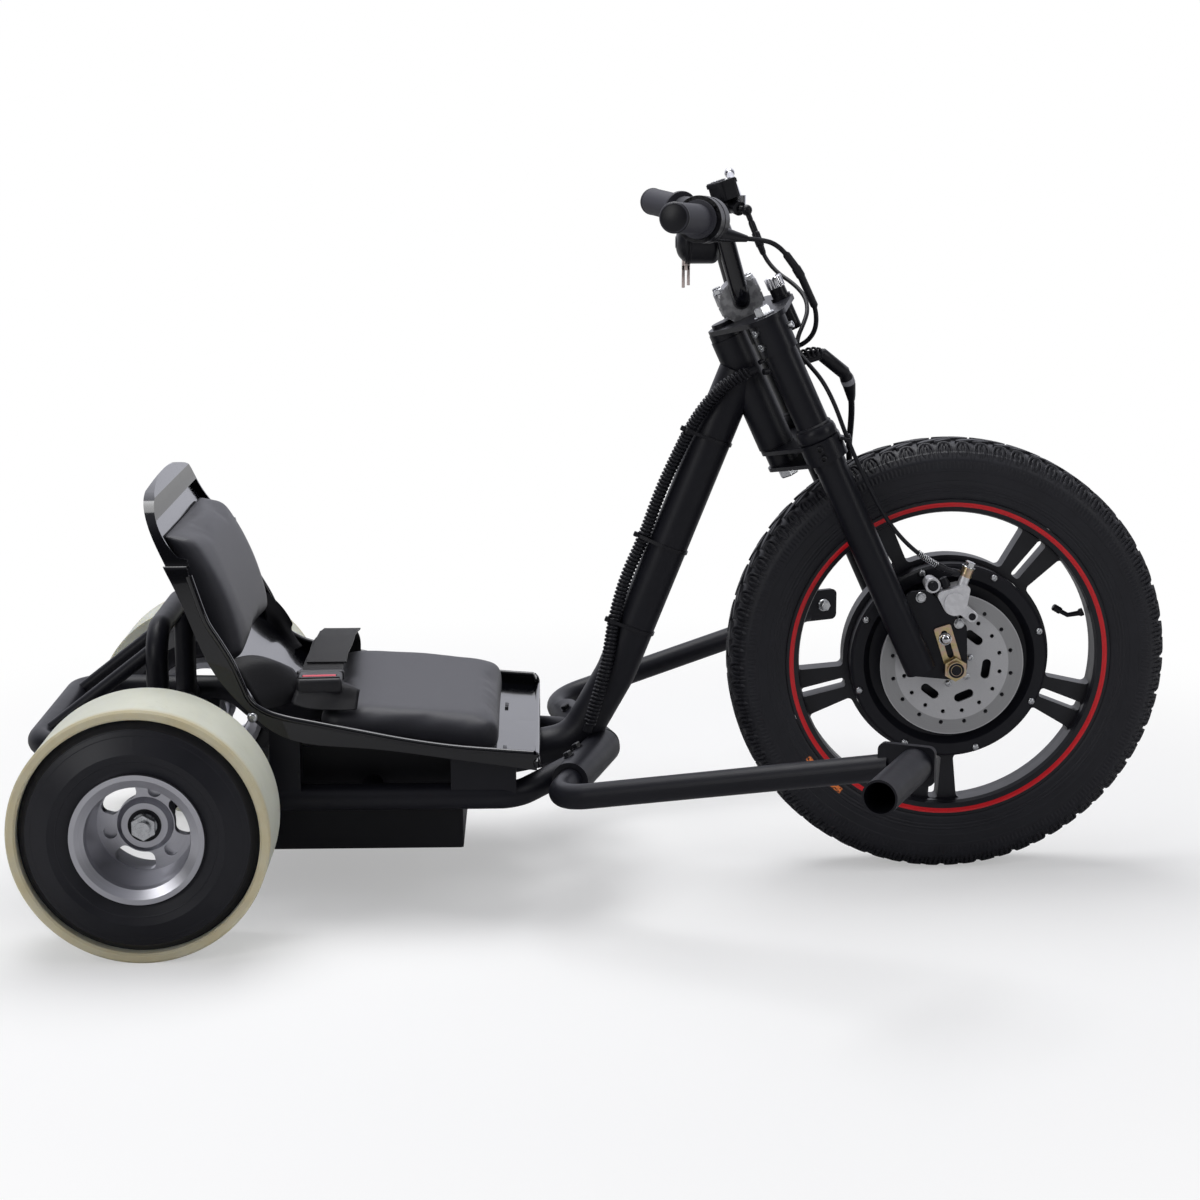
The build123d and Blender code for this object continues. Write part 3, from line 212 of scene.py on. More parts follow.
throttle_points += [steer(*place) for place in (
    (0.076, -0.093, 0.173), (0.092, -0.083, 0.16), (0.101, -0.072, 0.138), (0.106, -0.06, 0.112),
    (0.109, -0.049, 0.084), (0.107, -0.038, 0.058), (0.098, -0.027, 0.038), (0.082, -0.017, 0.028),
    (0.06, -0.014, 0.029), (0.038, -0.023, 0.033), (0.02, -0.032, 0.032),
)]
motor_points = [steer(*place) for place in (
    (0.02, -0.036, 0.02), (0.038, -0.028, 0.014), (0.06, -0.016, 0.013), (0.082, -0.009, 0.015),
    (0.098, 0.001, 0.003), (0.11, 0.012, -0.018), (0.115, 0.024, -0.042), (0.109, 0.036, -0.07),
    (0.098, 0.048, -0.097), (0.084, 0.06, -0.125),
)]
motor_points += [at_axle(*place) for place in (
    (-0.011, 0.074, 0.248), (-0.013, 0.087, 0.205), (-0.013, 0.092, 0.16), (-0.013, 0.094, 0.115),
    (-0.011, 0.1, 0.074), (-0.006, 0.113, 0.04), (-0.002, 0.124, 0.016), (0, 0.12, 0), (0, axle_end, 0),
)]
harness_points = [steer(*place) for place in (
    (0.014, -0.034, 0.027), (-0.014, -0.034, 0.027),
)]
harness_points += [on_tube(*place) for place in (
    (0.028, 0.018, -harness_side), (0.07, 0.03, -0.022), (0.12, 0.033, -0.01), (0.175, 0.035, -0.006),
    (0.235, 0.032, -0.006), (0.29, 0.035, -0.008), (0.345, 0.029, -0.016), (0.392, 0.018, -0.028),
)]
harness_points += [behind(*place) for place in (
    (0.441, -harness_side, 0.222), (0.452, -harness_side, 0.186),
)]
brake_hose = cable_curve("brake_hose_line", hose_points, 0.0054)
harness = cable_curve("harness_core", harness_points, 0.012)
throttle_cable, throttle_line = as_hose(cable_curve("throttle_cable_line", throttle_points, 0.006))
motor_cable, motor_line = as_hose(cable_curve("motor_cable_line", motor_points, 0.008))
hose_line = line_of(brake_hose)
harness_line = line_of(harness)
print("cable points:", len(hose_line), len(harness_line), len(throttle_line), len(motor_line))

# %% [markdown]
# A finish is a small tree of shader nodes. Sums on sockets are easier to read as Python, so a socket is
# wrapped in a class whose + - * / add the Math node for us. Everything that changes over a surface is
# driven by the place on it, and a value that is the same all over is simply set on the shader.

# %% Sums on sockets, and finishes
def add_node(tree, kind, settings=None, sockets=None, output=0):
    """Any node: its settings first, then the values or links of its sockets."""
    node = tree.nodes.new(kind)
    for name, value in (settings or {}).items():
        if name == "stops":
            ramp = node.color_ramp
            while len(ramp.elements) < len(value):
                ramp.elements.new(1)
            for element, (position, colour) in zip(ramp.elements, value):
                element.position = position
                element.color = (*colour, 1) if hasattr(colour, "__len__") else (colour, colour, colour, 1)
        else:
            setattr(node, name, value)
    for key, value in (sockets or {}).items():
        if isinstance(value, Field):
            tree.links.new(value.socket, node.inputs[key])
        else:
            node.inputs[key].default_value = value
    return Field(tree, node.outputs[output])


class Field:
    """A socket that can be added, multiplied and compared like a number."""

    def __init__(self, tree, socket):
        self.tree = tree
        self.socket = socket

    def sum(self, operation, first, second=0.0):
        return add_node(self.tree, "ShaderNodeMath", {"operation": operation}, {0: first, 1: second})

    def __add__(self, other):
        return self.sum("ADD", self, other)

    __radd__ = __add__

    def __sub__(self, other):
        return self.sum("SUBTRACT", self, other)

    def __rsub__(self, other):
        return self.sum("SUBTRACT", other, self)

    def __mul__(self, other):
        return self.sum("MULTIPLY", self, other)

    __rmul__ = __mul__

    def __truediv__(self, other):
        return self.sum("DIVIDE", self, other)

    def __rtruediv__(self, other):
        return self.sum("DIVIDE", other, self)

    def __pow__(self, other):
        return self.sum("POWER", self, other)

    def sine(self):
        return self.sum("SINE", self)

    def size(self):
        return self.sum("ABSOLUTE", self)

    def between(self, low, high, soft):
        """1 from low to high, 0 outside, with edges that are soft wide."""
        rise = self.rising(low - soft, low + soft)
        return rise * (1 - self.rising(high - soft, high + soft))

    def rising(self, low, high):
        settings = {"interpolation_type": "SMOOTHSTEP"}
        return add_node(
            self.tree, "ShaderNodeMapRange", settings, {"Value": self, "From Min": low, "From Max": high},
        )


class Finish:
    """One material: a Principled shader with its constant values set, and helpers that vary it."""

    def __init__(self, name, constants):
        self.material = bpy.data.materials.new(name)
        self.material.use_nodes = True
        self.tree = self.material.node_tree
        self.shader = self.tree.nodes["Principled BSDF"]
        for socket, value in constants.items():
            self.shader.inputs[socket].default_value = value
        self.place = self.node("ShaderNodeTexCoord", output="Object")

    def node(self, kind, settings=None, sockets=None, output=0):
        return add_node(self.tree, kind, settings, sockets, output)

    def drive(self, socket, field):
        self.tree.links.new(field.socket, self.shader.inputs[socket])

    def split(self, vector=None):
        separate = {"Vector": vector or self.place}
        return [self.node("ShaderNodeSeparateXYZ", None, separate, axis) for axis in range(3)]

    def joined(self, x, y, z):
        return self.node("ShaderNodeCombineXYZ", None, {0: x, 1: y, 2: z})

    def grain(self, scale, detail=3.0, vector=None, rough=0.5):
        sockets = {"Vector": vector or self.place, "Scale": scale, "Detail": detail, "Roughness": rough}
        return self.node("ShaderNodeTexNoise", None, sockets)

    def cells(self, scale, vector=None, feature="F1", output="Distance"):
        sockets = {"Vector": vector or self.place, "Scale": scale}
        return self.node("ShaderNodeTexVoronoi", {"feature": feature}, sockets, output)

    def mix(self, factor, low, high):
        def shade(value):
            return value if isinstance(value, Field) else (*value, 1)

        return self.node(
            "ShaderNodeMix", {"data_type": "RGBA"}, {0: factor, 6: shade(low), 7: shade(high)}, 2,
        )

    def bump(self, height, distance, strength=1.0):
        sockets = {"Height": height, "Distance": distance, "Strength": strength}
        self.drive("Normal", self.node("ShaderNodeBump", None, sockets))

    def about(self, middle):
        """Distance from an axle that runs along Y, the angle round it, and the distance along it."""
        x, y, z = self.split()
        x = x - middle.x
        z = z - middle.z
        angle = self.node("ShaderNodeMath", {"operation": "ARCTAN2"}, {0: z, 1: x})
        return (x * x + z * z) ** 0.5, angle, y - middle.y


print("shader helpers ready")

# %% [markdown]
# Powder coat is paint baked on as dust. It has a faint orange peel, and its shine changes a little from
# place to place. The frame, fork and handlebar all share it, at three levels of gloss.

# %% Powder coat, gloss shell and black plastics
def coated(name, dark, light, shine, peel, specular=0.24):
    finish = Finish(name, {"Specular IOR Level": specular})
    cloud = finish.grain(9, 4)
    finish.drive("Base Color", finish.mix(cloud, dark, light))
    finish.drive("Roughness", shine - 0.05 + 0.1 * finish.grain(60, 3))
    finish.bump(finish.grain(1100, 2) + 0.5 * finish.grain(300, 2), peel, 0.5)
    return finish.material


frame_paint = coated("powder_coat_satin", (0.0055, 0.0056, 0.0085), (0.010, 0.0102, 0.0145), 0.42, 0.00006)
fork_paint = coated("powder_coat_fork", (0.005, 0.0051, 0.008), (0.0088, 0.009, 0.013), 0.36, 0.00004)
bar_paint = coated(
    "powder_coat_gloss", (0.003, 0.003, 0.0048), (0.0055, 0.0056, 0.0085), 0.16, 0.00002, 0.5,
)
box_paint = coated("battery_box_paint", (0.004, 0.0041, 0.006), (0.0075, 0.0076, 0.0105), 0.5, 0.00008)
casting_paint = coated(
    "rim_and_motor_paint", (0.006, 0.0061, 0.009), (0.011, 0.0112, 0.0155), 0.38, 0.00008,
)
moulded_black = coated("moulded_black", (0.0055, 0.0055, 0.0075), (0.0115, 0.0115, 0.015), 0.34, 0.00005)
cable_black = coated("cable_black", (0.0065, 0.0066, 0.009), (0.0125, 0.0126, 0.0165), 0.4, 0.00003)


def seat_gloss():
    finish = Finish(
        "seat_shell_gloss", {"Coat Weight": 0.6, "Coat Roughness": 0.05, "Specular IOR Level": 0.3},
    )
    dust = finish.grain(14, 6, rough=0.65).rising(0.52, 0.8)
    finish.drive("Base Color", finish.mix(dust * 0.2, (0.0012, 0.0013, 0.0024), (0.014, 0.0142, 0.018)))
    finish.drive("Roughness", 0.14 + 0.1 * dust)
    finish.bump(finish.grain(22, 2), 0.0004, 0.25)
    return finish.material


shell_gloss = seat_gloss()
print("paints ready")

# %% [markdown]
# Vinyl is fabric under a skin of soft plastic. Its grain is a net of shallow cells a millimetre across, and
# it catches light in a broad, weak sheen. Voronoi cells give the net, and noise under them keeps it uneven.

# %% Vinyl, webbing and rubber
def grained_vinyl():
    finish = Finish(
        "seat_vinyl", {"Specular IOR Level": 0.42, "Sheen Weight": 0.08, "Sheen Roughness": 0.5},
    )
    drift = finish.node("ShaderNodeTexNoise", None, {"Vector": finish.place, "Scale": 60.0}, 1)
    short = finish.node("ShaderNodeVectorMath", {"operation": "SCALE"}, {0: drift, "Scale": 0.004})
    wander = finish.node("ShaderNodeVectorMath", {"operation": "ADD"}, {0: finish.place, 1: short})
    net = finish.cells(620, wander, "DISTANCE_TO_EDGE").rising(0.0, 0.16)
    wear = finish.grain(7, 5, rough=0.6)
    finish.drive("Base Color", finish.mix(wear, (0.0145, 0.0146, 0.02), (0.0245, 0.0245, 0.0325)))
    finish.drive("Roughness", 0.5 - 0.1 * net + 0.08 * wear)
    finish.bump(net + 0.6 * finish.grain(40, 3), 0.00016, 0.5)
    return finish.material


def woven_webbing():
    finish = Finish(
        "belt_webbing", {"Specular IOR Level": 0.25, "Sheen Weight": 0.25, "Sheen Roughness": 0.4},
    )
    x, y, z = finish.split()
    across = (x * (tau / 0.0026)).sine()
    along = (y * (tau / 0.0018)).sine()
    twill = ((x * (tau / 0.0052)) + (y * (tau / 0.0036))).sine()
    weave = 0.5 + 0.25 * across * along + 0.25 * twill
    finish.drive("Base Color", finish.mix(weave, (0.005, 0.005, 0.006), (0.022, 0.022, 0.024)))
    finish.drive("Roughness", 0.75 + 0.15 * finish.grain(200, 2))
    finish.bump(weave + 0.4 * finish.grain(900, 2), 0.0004, 0.8)
    return finish.material


def tread_rubber():
    finish = Finish("front_tyre_rubber", {"Specular IOR Level": 0.35})
    radius, angle, across = finish.about(front_axle)
    wall = radius.between(0.209, 0.262, 0.001)
    rings = (radius * (tau / 0.0042)).sine() * radius.between(0.211, 0.222, 0.001)
    fringe = (angle * 300).sine() * radius.between(0.243, 0.251, 0.0008)
    step = radius.rising(0.2385, 0.2392) + radius.rising(0.2268, 0.2275)
    bloom = finish.grain(24, 5, rough=0.6)
    rubber = finish.mix(bloom, (0.0065, 0.0066, 0.0095), (0.0155, 0.0156, 0.021))
    # two dabs of orange paint low on the right wall, angles counted down from the rear
    turned = angle + pi
    short_dab = turned.between(radians(35.5), radians(39.5), 0.004)
    long_dab = turned.between(radians(45), radians(52), 0.004)
    dabs = (short_dab + long_dab) * radius.between(0.2105, 0.2175, 0.0006) * across.rising(-0.0355, -0.036)
    worn = finish.grain(420, 3).rising(0.36, 0.5)
    finish.drive("Base Color", finish.mix(dabs * worn, rubber, (0.75, 0.19, 0.035)))
    finish.drive("Roughness", 0.42 + 0.18 * bloom)
    finish.bump(0.35 * rings + 0.4 * fringe + 0.5 * step * wall + 0.16 * finish.grain(500, 3), 0.0012, 0.7)
    return finish.material


def slick_rubber():
    finish = Finish("rear_tyre_rubber", {"Specular IOR Level": 0.35})
    radius, angle, across = finish.about(rear_axle)
    rings = radius.between(0.0905, 0.0915, 0.0004) + radius.between(0.1255, 0.1275, 0.0005)
    step = radius.rising(0.119, 0.12) + radius.rising(0.131, 0.132)
    bloom = finish.grain(20, 5, rough=0.6)
    finish.drive("Base Color", finish.mix(bloom, (0.0055, 0.0056, 0.0085), (0.0125, 0.0127, 0.0175)))
    finish.drive("Roughness", 0.34 + 0.14 * bloom)
    finish.bump(0.5 * rings + 0.5 * step + 0.1 * finish.grain(400, 3), 0.0009, 0.6)
    return finish.material


def dusty(name, specular, grain, tones, roughness, pores, bump, soft=0.5):
    """Plastic or rubber whose tone and roughness follow a grain of dust, with pores as its bump.

    grain and pores are (scale, detail), tones (dark, light), roughness (least, spread) and
    bump (depth, strength).
    """
    finish = Finish(name, {"Specular IOR Level": specular})
    dust = finish.grain(*grain, rough=soft)
    finish.drive("Base Color", finish.mix(dust, *tones))
    finish.drive("Roughness", roughness[0] + roughness[1] * dust)
    finish.bump(finish.grain(*pores), *bump)
    return finish.material


vinyl = grained_vinyl()
webbing = woven_webbing()
front_rubber = tread_rubber()
rear_rubber = slick_rubber()
handle_rubber = dusty(
    "grip_rubber", specular=0.35, grain=(35, 5), soft=0.6, pores=(700, 3), bump=(0.0002, 0.6),
    tones=((0.022, 0.022, 0.029), (0.038, 0.038, 0.049)), roughness=(0.5, 0.15),
)
print("soft finishes ready")

# %% [markdown]
# The plastic sleeves are natural nylon: milky, a little green, and yellowed where the mould split and along
# the rims. Light goes a few millimetres into it, so the shader gets some subsurface, and the colour is
# mixed by the distance from the wheel's middle.

# %% Nylon sleeve, rim stripe and motor cover
def milky_nylon():
    depth = {"Subsurface Weight": 0.35, "Subsurface Radius": (0.012, 0.01, 0.006), "Subsurface Scale": 0.6}
    finish = Finish("sleeve_nylon", {"Specular IOR Level": 0.4, **depth})
    radius, angle, across = finish.about(rear_axle)
    rim = across.size().rising(0.322, 0.3375)
    cloud = finish.grain(16, 5, rough=0.62)
    body = finish.mix(cloud, (0.50, 0.51, 0.42), (0.66, 0.67, 0.585))
    scuff = finish.grain(90, 5, rough=0.7).rising(0.56, 0.75)
    aged = finish.mix(rim * (0.35 + 0.65 * finish.grain(30, 3)), body, (0.50, 0.42, 0.24))
    finish.drive("Base Color", finish.mix(scuff * 0.25, aged, (0.36, 0.34, 0.27)))
    finish.drive("Roughness", 0.42 + 0.2 * cloud)
    finish.bump(finish.grain(120, 4) + 0.4 * scuff, 0.0003, 0.5)
    return finish.material


def striped_rim():
    finish = Finish("rim_paint_with_stripe", {"Specular IOR Level": 0.4})
    radius, angle, across = finish.about(front_axle)
    stripe = radius.between(0.1937, 0.1992, 0.0002) * across.size().rising(0.0318, 0.0322)
    cloud = finish.grain(12, 4)
    black = finish.mix(cloud, (0.006, 0.0061, 0.009), (0.011, 0.0112, 0.0155))
    finish.drive("Base Color", finish.mix(stripe, black, (0.55, 0.006, 0.012)))
    finish.drive("Roughness", 0.36 + 0.1 * finish.grain(60, 3) - 0.1 * stripe)
    finish.bump(finish.grain(900, 2) + 0.6 * finish.grain(200, 2), 0.00008, 0.5)
    return finish.material


sleeve_nylon = milky_nylon()
rim_paint = striped_rim()

# %% [markdown]
# Bare metal shows how it was cut. A disc that was ground while it turned has rings, so its scratches follow
# the radius. Zinc plating is cloudy, and the yellow kind shifts from gold to pink and green like oil on
# water. The cast and plated finishes also carry blotches of painted highlight and shade in their colour.

# %% Metals
def turned_metal(name, middle, colour, rough, fine):
    finish = Finish(name, {"Metallic": 1.0})
    radius, angle, across = finish.about(middle)
    lathe = finish.grain(1.0, 4, finish.joined(radius * fine, across * fine, angle * 0.7), 0.6)
    tint = [0.78 * value for value in colour]
    finish.drive("Base Color", finish.mix(lathe, tint, colour))
    finish.drive("Roughness", rough + 0.2 * lathe)
    finish.bump(lathe, 0.00008, 0.35)
    return finish.material


def ground_disc():
    finish = Finish("brake_disc_steel", {"Metallic": 0.9})
    radius, angle, across = finish.about(front_axle)
    band = radius.between(0.0705, 0.088, 0.0006)
    rings = finish.grain(1.0, 5, finish.joined(radius * 2600, angle * 2.2, 0.0), 0.62)
    speck = finish.grain(1300, 2)
    web = finish.mix(speck, (0.52, 0.52, 0.53), (0.68, 0.68, 0.69))
    worn = finish.mix(rings, (0.28, 0.28, 0.285), (0.46, 0.46, 0.465))
    finish.drive("Base Color", finish.mix(band, web, worn))
    finish.drive("Roughness", 0.46 + 0.1 * speck - 0.12 * band + 0.1 * rings)
    finish.bump(rings * band + 0.35 * speck, 0.00008, 0.5)
    return finish.material


def cast_metal(name, dark, light, rough, pits, metal=0.85):
    finish = Finish(name, {"Metallic": metal})
    # The soft mottle of the first grain is the metal's own. The sharper blotches of the second grain are painted
    # highlight and shade.
    cloud = 0.45 * finish.grain(45, 4) + 0.55 * finish.grain(150, 3).rising(0.4, 0.62)
    finish.drive("Base Color", finish.mix(cloud, dark, light))
    finish.drive("Roughness", rough + 0.14 * cloud)
    finish.bump(finish.grain(900, 3) + 0.5 * finish.grain(260, 3), pits, 0.6)
    return finish.material


def yellow_zinc():
    finish = Finish("yellow_zinc", {"Metallic": 1.0})
    drift = finish.grain(75, 3, rough=0.6)
    stops = [
        (0.3, (0.45, 0.38, 0.22)), (0.45, (0.62, 0.50, 0.27)), (0.55, (0.60, 0.42, 0.34)),
        (0.66, (0.50, 0.52, 0.34)),
    ]
    film = finish.node("ShaderNodeValToRGB", {"stops": stops}, {"Fac": drift})
    finish.drive("Base Color", film)
    finish.drive("Roughness", 0.24 + 0.12 * finish.grain(140, 3))
    finish.bump(finish.grain(500, 2), 0.00005, 0.4)
    return finish.material


rim_alloy = turned_metal("rear_rim_alloy", rear_axle, (0.6, 0.6, 0.64), 0.26, 900)
disc_steel = ground_disc()
zinc = cast_metal("zinc_plate", (0.48, 0.49, 0.50), (0.70, 0.71, 0.73), 0.22, 0.00003, 1.0)
cast_silver = cast_metal("cast_silver", (0.2, 0.2, 0.21), (0.5, 0.5, 0.51), 0.33, 0.0005)
bright_cast = cast_metal("machined_silver", (0.66, 0.66, 0.68), (0.80, 0.80, 0.82), 0.34, 0.00004, 0.7)
gold_zinc = yellow_zinc()
chrome = cast_metal("chrome_plate", (0.62, 0.62, 0.64), (0.74, 0.74, 0.76), 0.07, 0.00001, 1.0)
key_nickel = cast_metal("key_nickel", (0.60, 0.50, 0.47), (0.72, 0.62, 0.58), 0.24, 0.00003, 1.0)
print("metals ready")

# %% [markdown]
# Every solid that stays gets its finish here. The rest are replaced below by pieces with more detail.

# %% Finishes of the solids that stay
dress = {
    frame_paint: ["main_tube", "peg_sockets", "footrest_arms", "footpegs", "seat_rails", "rear_frame"],
    fork_paint: ["fork_upper_tubes", "fork_lower_legs", "axle_brackets", "top_plate", "lower_crown"],
    box_paint: ["battery_box"],
    bar_paint: ["handlebar"],
    casting_paint: ["hub_motor"],
    rim_paint: ["front_rim"],
    moulded_black: ["throttle_housing", "brake_master", "gauge_switch", "lock_barrel"],
    shell_gloss: ["seat_shell"],
    zinc: ["rear_axle"],
    gold_zinc: ["axle_tabs", "front_axle"],
    bright_cast: ["brake_caliper"],
    cast_silver: ["bar_clamp"],
    chrome: ["brake_lever"],
    key_nickel: ["key"],
    disc_steel: ["brake_disc"],
    rim_alloy: ["rear_rim_left", "rear_rim_right"],
    rear_rubber: ["rear_tyre_left", "rear_tyre_right"],
    sleeve_nylon: ["drift_sleeve_left", "drift_sleeve_right"],
}
for material, names in dress.items():
    for name in names:
        solid = frame["nodes"][name]
        solid.data.materials.clear()
        solid.data.materials.append(material)
print("dressed:", sum(len(names) for names in dress.values()), "solids")

# %% [markdown]
# Small parts are drawn as outlines and spun, like work on a lathe. One helper spins a list of (along,
# radius) pairs into rings of faces, another turns the result into a piece: it merges doubled points, turns
# the faces outward and keeps only true corners sharp.

# %% Lathe and block
def as_piece(name, shape, material, corner=35):
    bmesh.ops.remove_doubles(shape, verts=shape.verts, dist=0.00002)
    bmesh.ops.recalc_face_normals(shape, faces=shape.faces)
    mesh = bpy.data.meshes.new(name)
    shape.to_mesh(mesh)
    shape.free()
    mesh.shade_smooth()
    mesh.set_sharp_from_angle(angle=radians(corner))
    mesh.materials.append(material)
    piece = bpy.data.objects.new(name, mesh)
    scene.collection.objects.link(piece)
    return piece


def bridge(shape, rings, closed=False):
    """Quads between rings of points that have the same count."""
    pairs = list(zip(rings, rings[1:] + rings[:1])) if closed else list(zip(rings, rings[1:]))
    for lower, upper in pairs:
        for step in range(len(lower)):
            beside = (step + 1) % len(lower)
            shape.faces.new((lower[step], lower[beside], upper[beside], upper[step]))


def spin(shape, profile, start, direction, segments=32, closed=False):
    """Spins (along, radius) pairs round a direction that leads away from a start."""
    turn = Vector(direction).to_track_quat("Z", "Y")
    rings = []
    for along, radius in profile:
        ring = []
        for step in range(segments):
            angle = tau * step / segments
            place = Vector((radius * cos(angle), radius * sin(angle), along))
            ring.append(shape.verts.new(Vector(start) + turn @ place))
        rings.append(ring)
    bridge(shape, rings, closed)


def ring_round(shape, middle, radius, side, over, segments):
    """A ring of points round a place, in the plane of two crossed directions."""
    ring = []
    for step in range(segments):
        angle = tau * step / segments
        ring.append(shape.verts.new(middle + radius * (side * cos(angle) + over * sin(angle))))
    return ring


def block(shape, size, middle, turn=Quaternion(), bevel=0.002):
    """A box with rounded edges."""
    made = bmesh.ops.create_cube(shape, size=1.0)["verts"]
    for vertex in made:
        vertex.co = Vector([value * side for value, side in zip(vertex.co, size)])
    edges = list({edge for vertex in made for edge in vertex.link_edges})
    result = bmesh.ops.bevel(
        shape, geom=made + edges, offset=bevel, segments=3, profile=0.5, affect="EDGES",
    )
    for vertex in result["verts"]:
        vertex.co = turn @ vertex.co + Vector(middle)


def add_sleeve(shape, line, stations, segments):
    """A tube round a line, with a radius at each of its (distance, radius) stations."""
    reach = [0.0]
    for before, after in zip(line, line[1:]):
        reach.append(reach[-1] + (after - before).length)
    rings = []
    side = None
    for distance, radius in stations:
        step = max(index for index, length in enumerate(reach[:-1]) if length <= distance or index == 0)
        run = line[step + 1] - line[step]
        middle = line[step] + run * ((distance - reach[step]) / run.length)
        ahead = (line[min(step + 2, len(line) - 1)] - line[max(step - 1, 0)]).normalized()
        side = ahead.orthogonal() if side is None else side - ahead * side.dot(ahead)
        side.normalize()
        rings.append(ring_round(shape, middle, radius, side, ahead.cross(side), segments))
    bridge(shape, rings)
    for ring in (rings[0], rings[-1]):
        shape.faces.new(ring)


def sleeve_along(name, line, stations, material, segments):
    shape = bmesh.new()
    add_sleeve(shape, line, stations, segments)
    return as_piece(name, shape, material, 40)


def ride_all(body, *pieces):
    for piece in pieces:
        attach(piece, body)


print("lathe and block ready")

# %% [markdown]
# Screws come in dozens, so one Geometry Nodes tree places them all. It takes a cloud of points that each
# know which way their screw faces, and puts a screw on every point with a roll drawn from a fixed seed,
# because no one tightens screws to the same angle. The result is turned into a plain mesh at once.

# %% Tree that sets fasteners on points
def geometry_tree(name, inputs):
    tree = bpy.data.node_groups.new(name, "GeometryNodeTree")
    tree.is_modifier = True
    tree.interface.new_socket("Geometry", in_out="INPUT", socket_type="NodeSocketGeometry")
    for title, kind in inputs:
        tree.interface.new_socket(title, in_out="INPUT", socket_type="NodeSocket" + kind)
    tree.interface.new_socket("Geometry", in_out="OUTPUT", socket_type="NodeSocketGeometry")
    return tree, tree.nodes.new("NodeGroupInput"), tree.nodes.new("NodeGroupOutput")


def wire(tree, kind, links=None, values=None, settings=None):
    """Adds a node, with settings, plain values and links from other sockets."""
    node = tree.nodes.new(kind)
    for key, value in (settings or {}).items():
        setattr(node, key, value)
    for key, value in (values or {}).items():
        node.inputs[key].default_value = value
    for key, socket in (links or {}).items():
        tree.links.new(socket, node.inputs[key])
    return node


def paint_and_send(tree, geometry, given, result):
    """The last step of a tree: its geometry gets the finish it was given and leaves."""
    painted = wire(
        tree, "GeometryNodeSetMaterial", {"Geometry": geometry, "Material": given.outputs["Finish"]},
    )
    tree.links.new(painted.outputs[0], result.inputs[0])


def run_tree(name, tree, holder, values):
    """Runs a tree on a holder and keeps what it makes as a plain mesh."""
    modifier = holder.modifiers.new("maker", "NODES")
    modifier.node_group = tree
    for item in tree.interface.items_tree:
        if item.item_type == "SOCKET" and item.in_out == "INPUT" and item.name in values:
            modifier[item.identifier] = values[item.name]
    mesh = as_mesh(holder)
    mesh.name = name
    bpy.data.objects.remove(holder)
    piece = bpy.data.objects.new(name, mesh)
    scene.collection.objects.link(piece)
    return piece


def fastener_tree():
    inputs = [("Fastener", "Object"), ("Size", "Float"), ("Finish", "Material"), ("Seed", "Int")]
    tree, given, result = geometry_tree("set_fasteners", inputs)
    facing = wire(
        tree, "GeometryNodeInputNamedAttribute", values={"Name": "facing"},
        settings={"data_type": "FLOAT_VECTOR"},
    )
    aligned = wire(
        tree, "FunctionNodeAlignRotationToVector", {"Vector": facing.outputs["Attribute"]},
        settings={"axis": "Z"},
    )
    roll = wire(tree, "FunctionNodeRandomValue", {"Seed": given.outputs["Seed"]}, {2: 0.0, 3: tau})
    rolled = wire(tree, "FunctionNodeAxisAngleToRotation", {"Angle": roll.outputs[1]}, {"Axis": (0, 0, 1)})
    turned = wire(
        tree, "FunctionNodeRotateRotation", {0: aligned.outputs[0], 1: rolled.outputs[0]},
        settings={"rotation_space": "LOCAL"},
    )
    fastener = wire(tree, "GeometryNodeObjectInfo", {"Object": given.outputs["Fastener"]})
    links = {
        "Points": given.outputs["Geometry"], "Instance": fastener.outputs["Geometry"],
        "Rotation": turned.outputs[0], "Scale": given.outputs["Size"],
    }
    placed = wire(tree, "GeometryNodeInstanceOnPoints", links)
    real = wire(tree, "GeometryNodeRealizeInstances", {0: placed.outputs[0]})
    paint_and_send(tree, real.outputs[0], given, result)
    return tree


set_fasteners = fastener_tree()
print("tree:", set_fasteners.name)

# %% Three kinds of fastener, each one unit wide
def hex_head():
    shape = bmesh.new()
    spin(shape, [(0, 0), (0, 0.66), (0.06, 0.7), (0.12, 0.66), (0.12, 0.5)], (0, 0, 0), (0, 0, 1), 28)
    spin(
        shape, [(0.12, 0.577), (0.55, 0.577), (0.62, 0.5), (0.64, 0.36), (0.6, 0.0)], (0, 0, 0), (0, 0, 1),
        6,
    )
    return as_piece("hex_head", shape, zinc, 20)


def button_head():
    shape = bmesh.new()
    dome = [
        (0, 0), (0, 0.44), (0.05, 0.5), (0.17, 0.47), (0.27, 0.38), (0.32, 0.27), (0.32, 0.24),
        (0.1, 0.23), (0.1, 0),
    ]
    spin(shape, dome, (0, 0, 0), (0, 0, 1), 24)
    return as_piece("button_head", shape, zinc, 40)


def socket_head():
    shape = bmesh.new()
    collar = [(0, 0), (0, 0.48), (0.06, 0.5), (0.6, 0.5), (0.66, 0.44), (0.66, 0.3), (0.3, 0.28), (0.3, 0)]
    spin(shape, collar, (0, 0, 0), (0, 0, 1), 24)
    return as_piece("socket_head", shape, zinc, 30)


hex_bolt = hex_head()
button_screw = button_head()
socket_bolt = socket_head()


def fasten(name, body, fastener, size, finish, spots, seed=1):
    """Sets one fastener at each (place, facing) of the spots, all in one piece on a body."""
    mesh = bpy.data.meshes.new(name + "_spots")
    mesh.from_pydata([place for place, facing in spots], [], [])
    facings = mesh.attributes.new("facing", "FLOAT_VECTOR", "POINT")
    facings.data.foreach_set(
        "vector", [value for place, facing in spots for value in Vector(facing).normalized()],
    )
    holder = bpy.data.objects.new(name + "_spots", mesh)
    scene.collection.objects.link(holder)
    values = {"Fastener": fastener, "Size": size, "Finish": finish, "Seed": seed}
    piece = run_tree(name, set_fasteners, holder, values)
    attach(piece, body)
    print(name, len(spots), "set,", len(piece.data.polygons), "faces")
    return piece


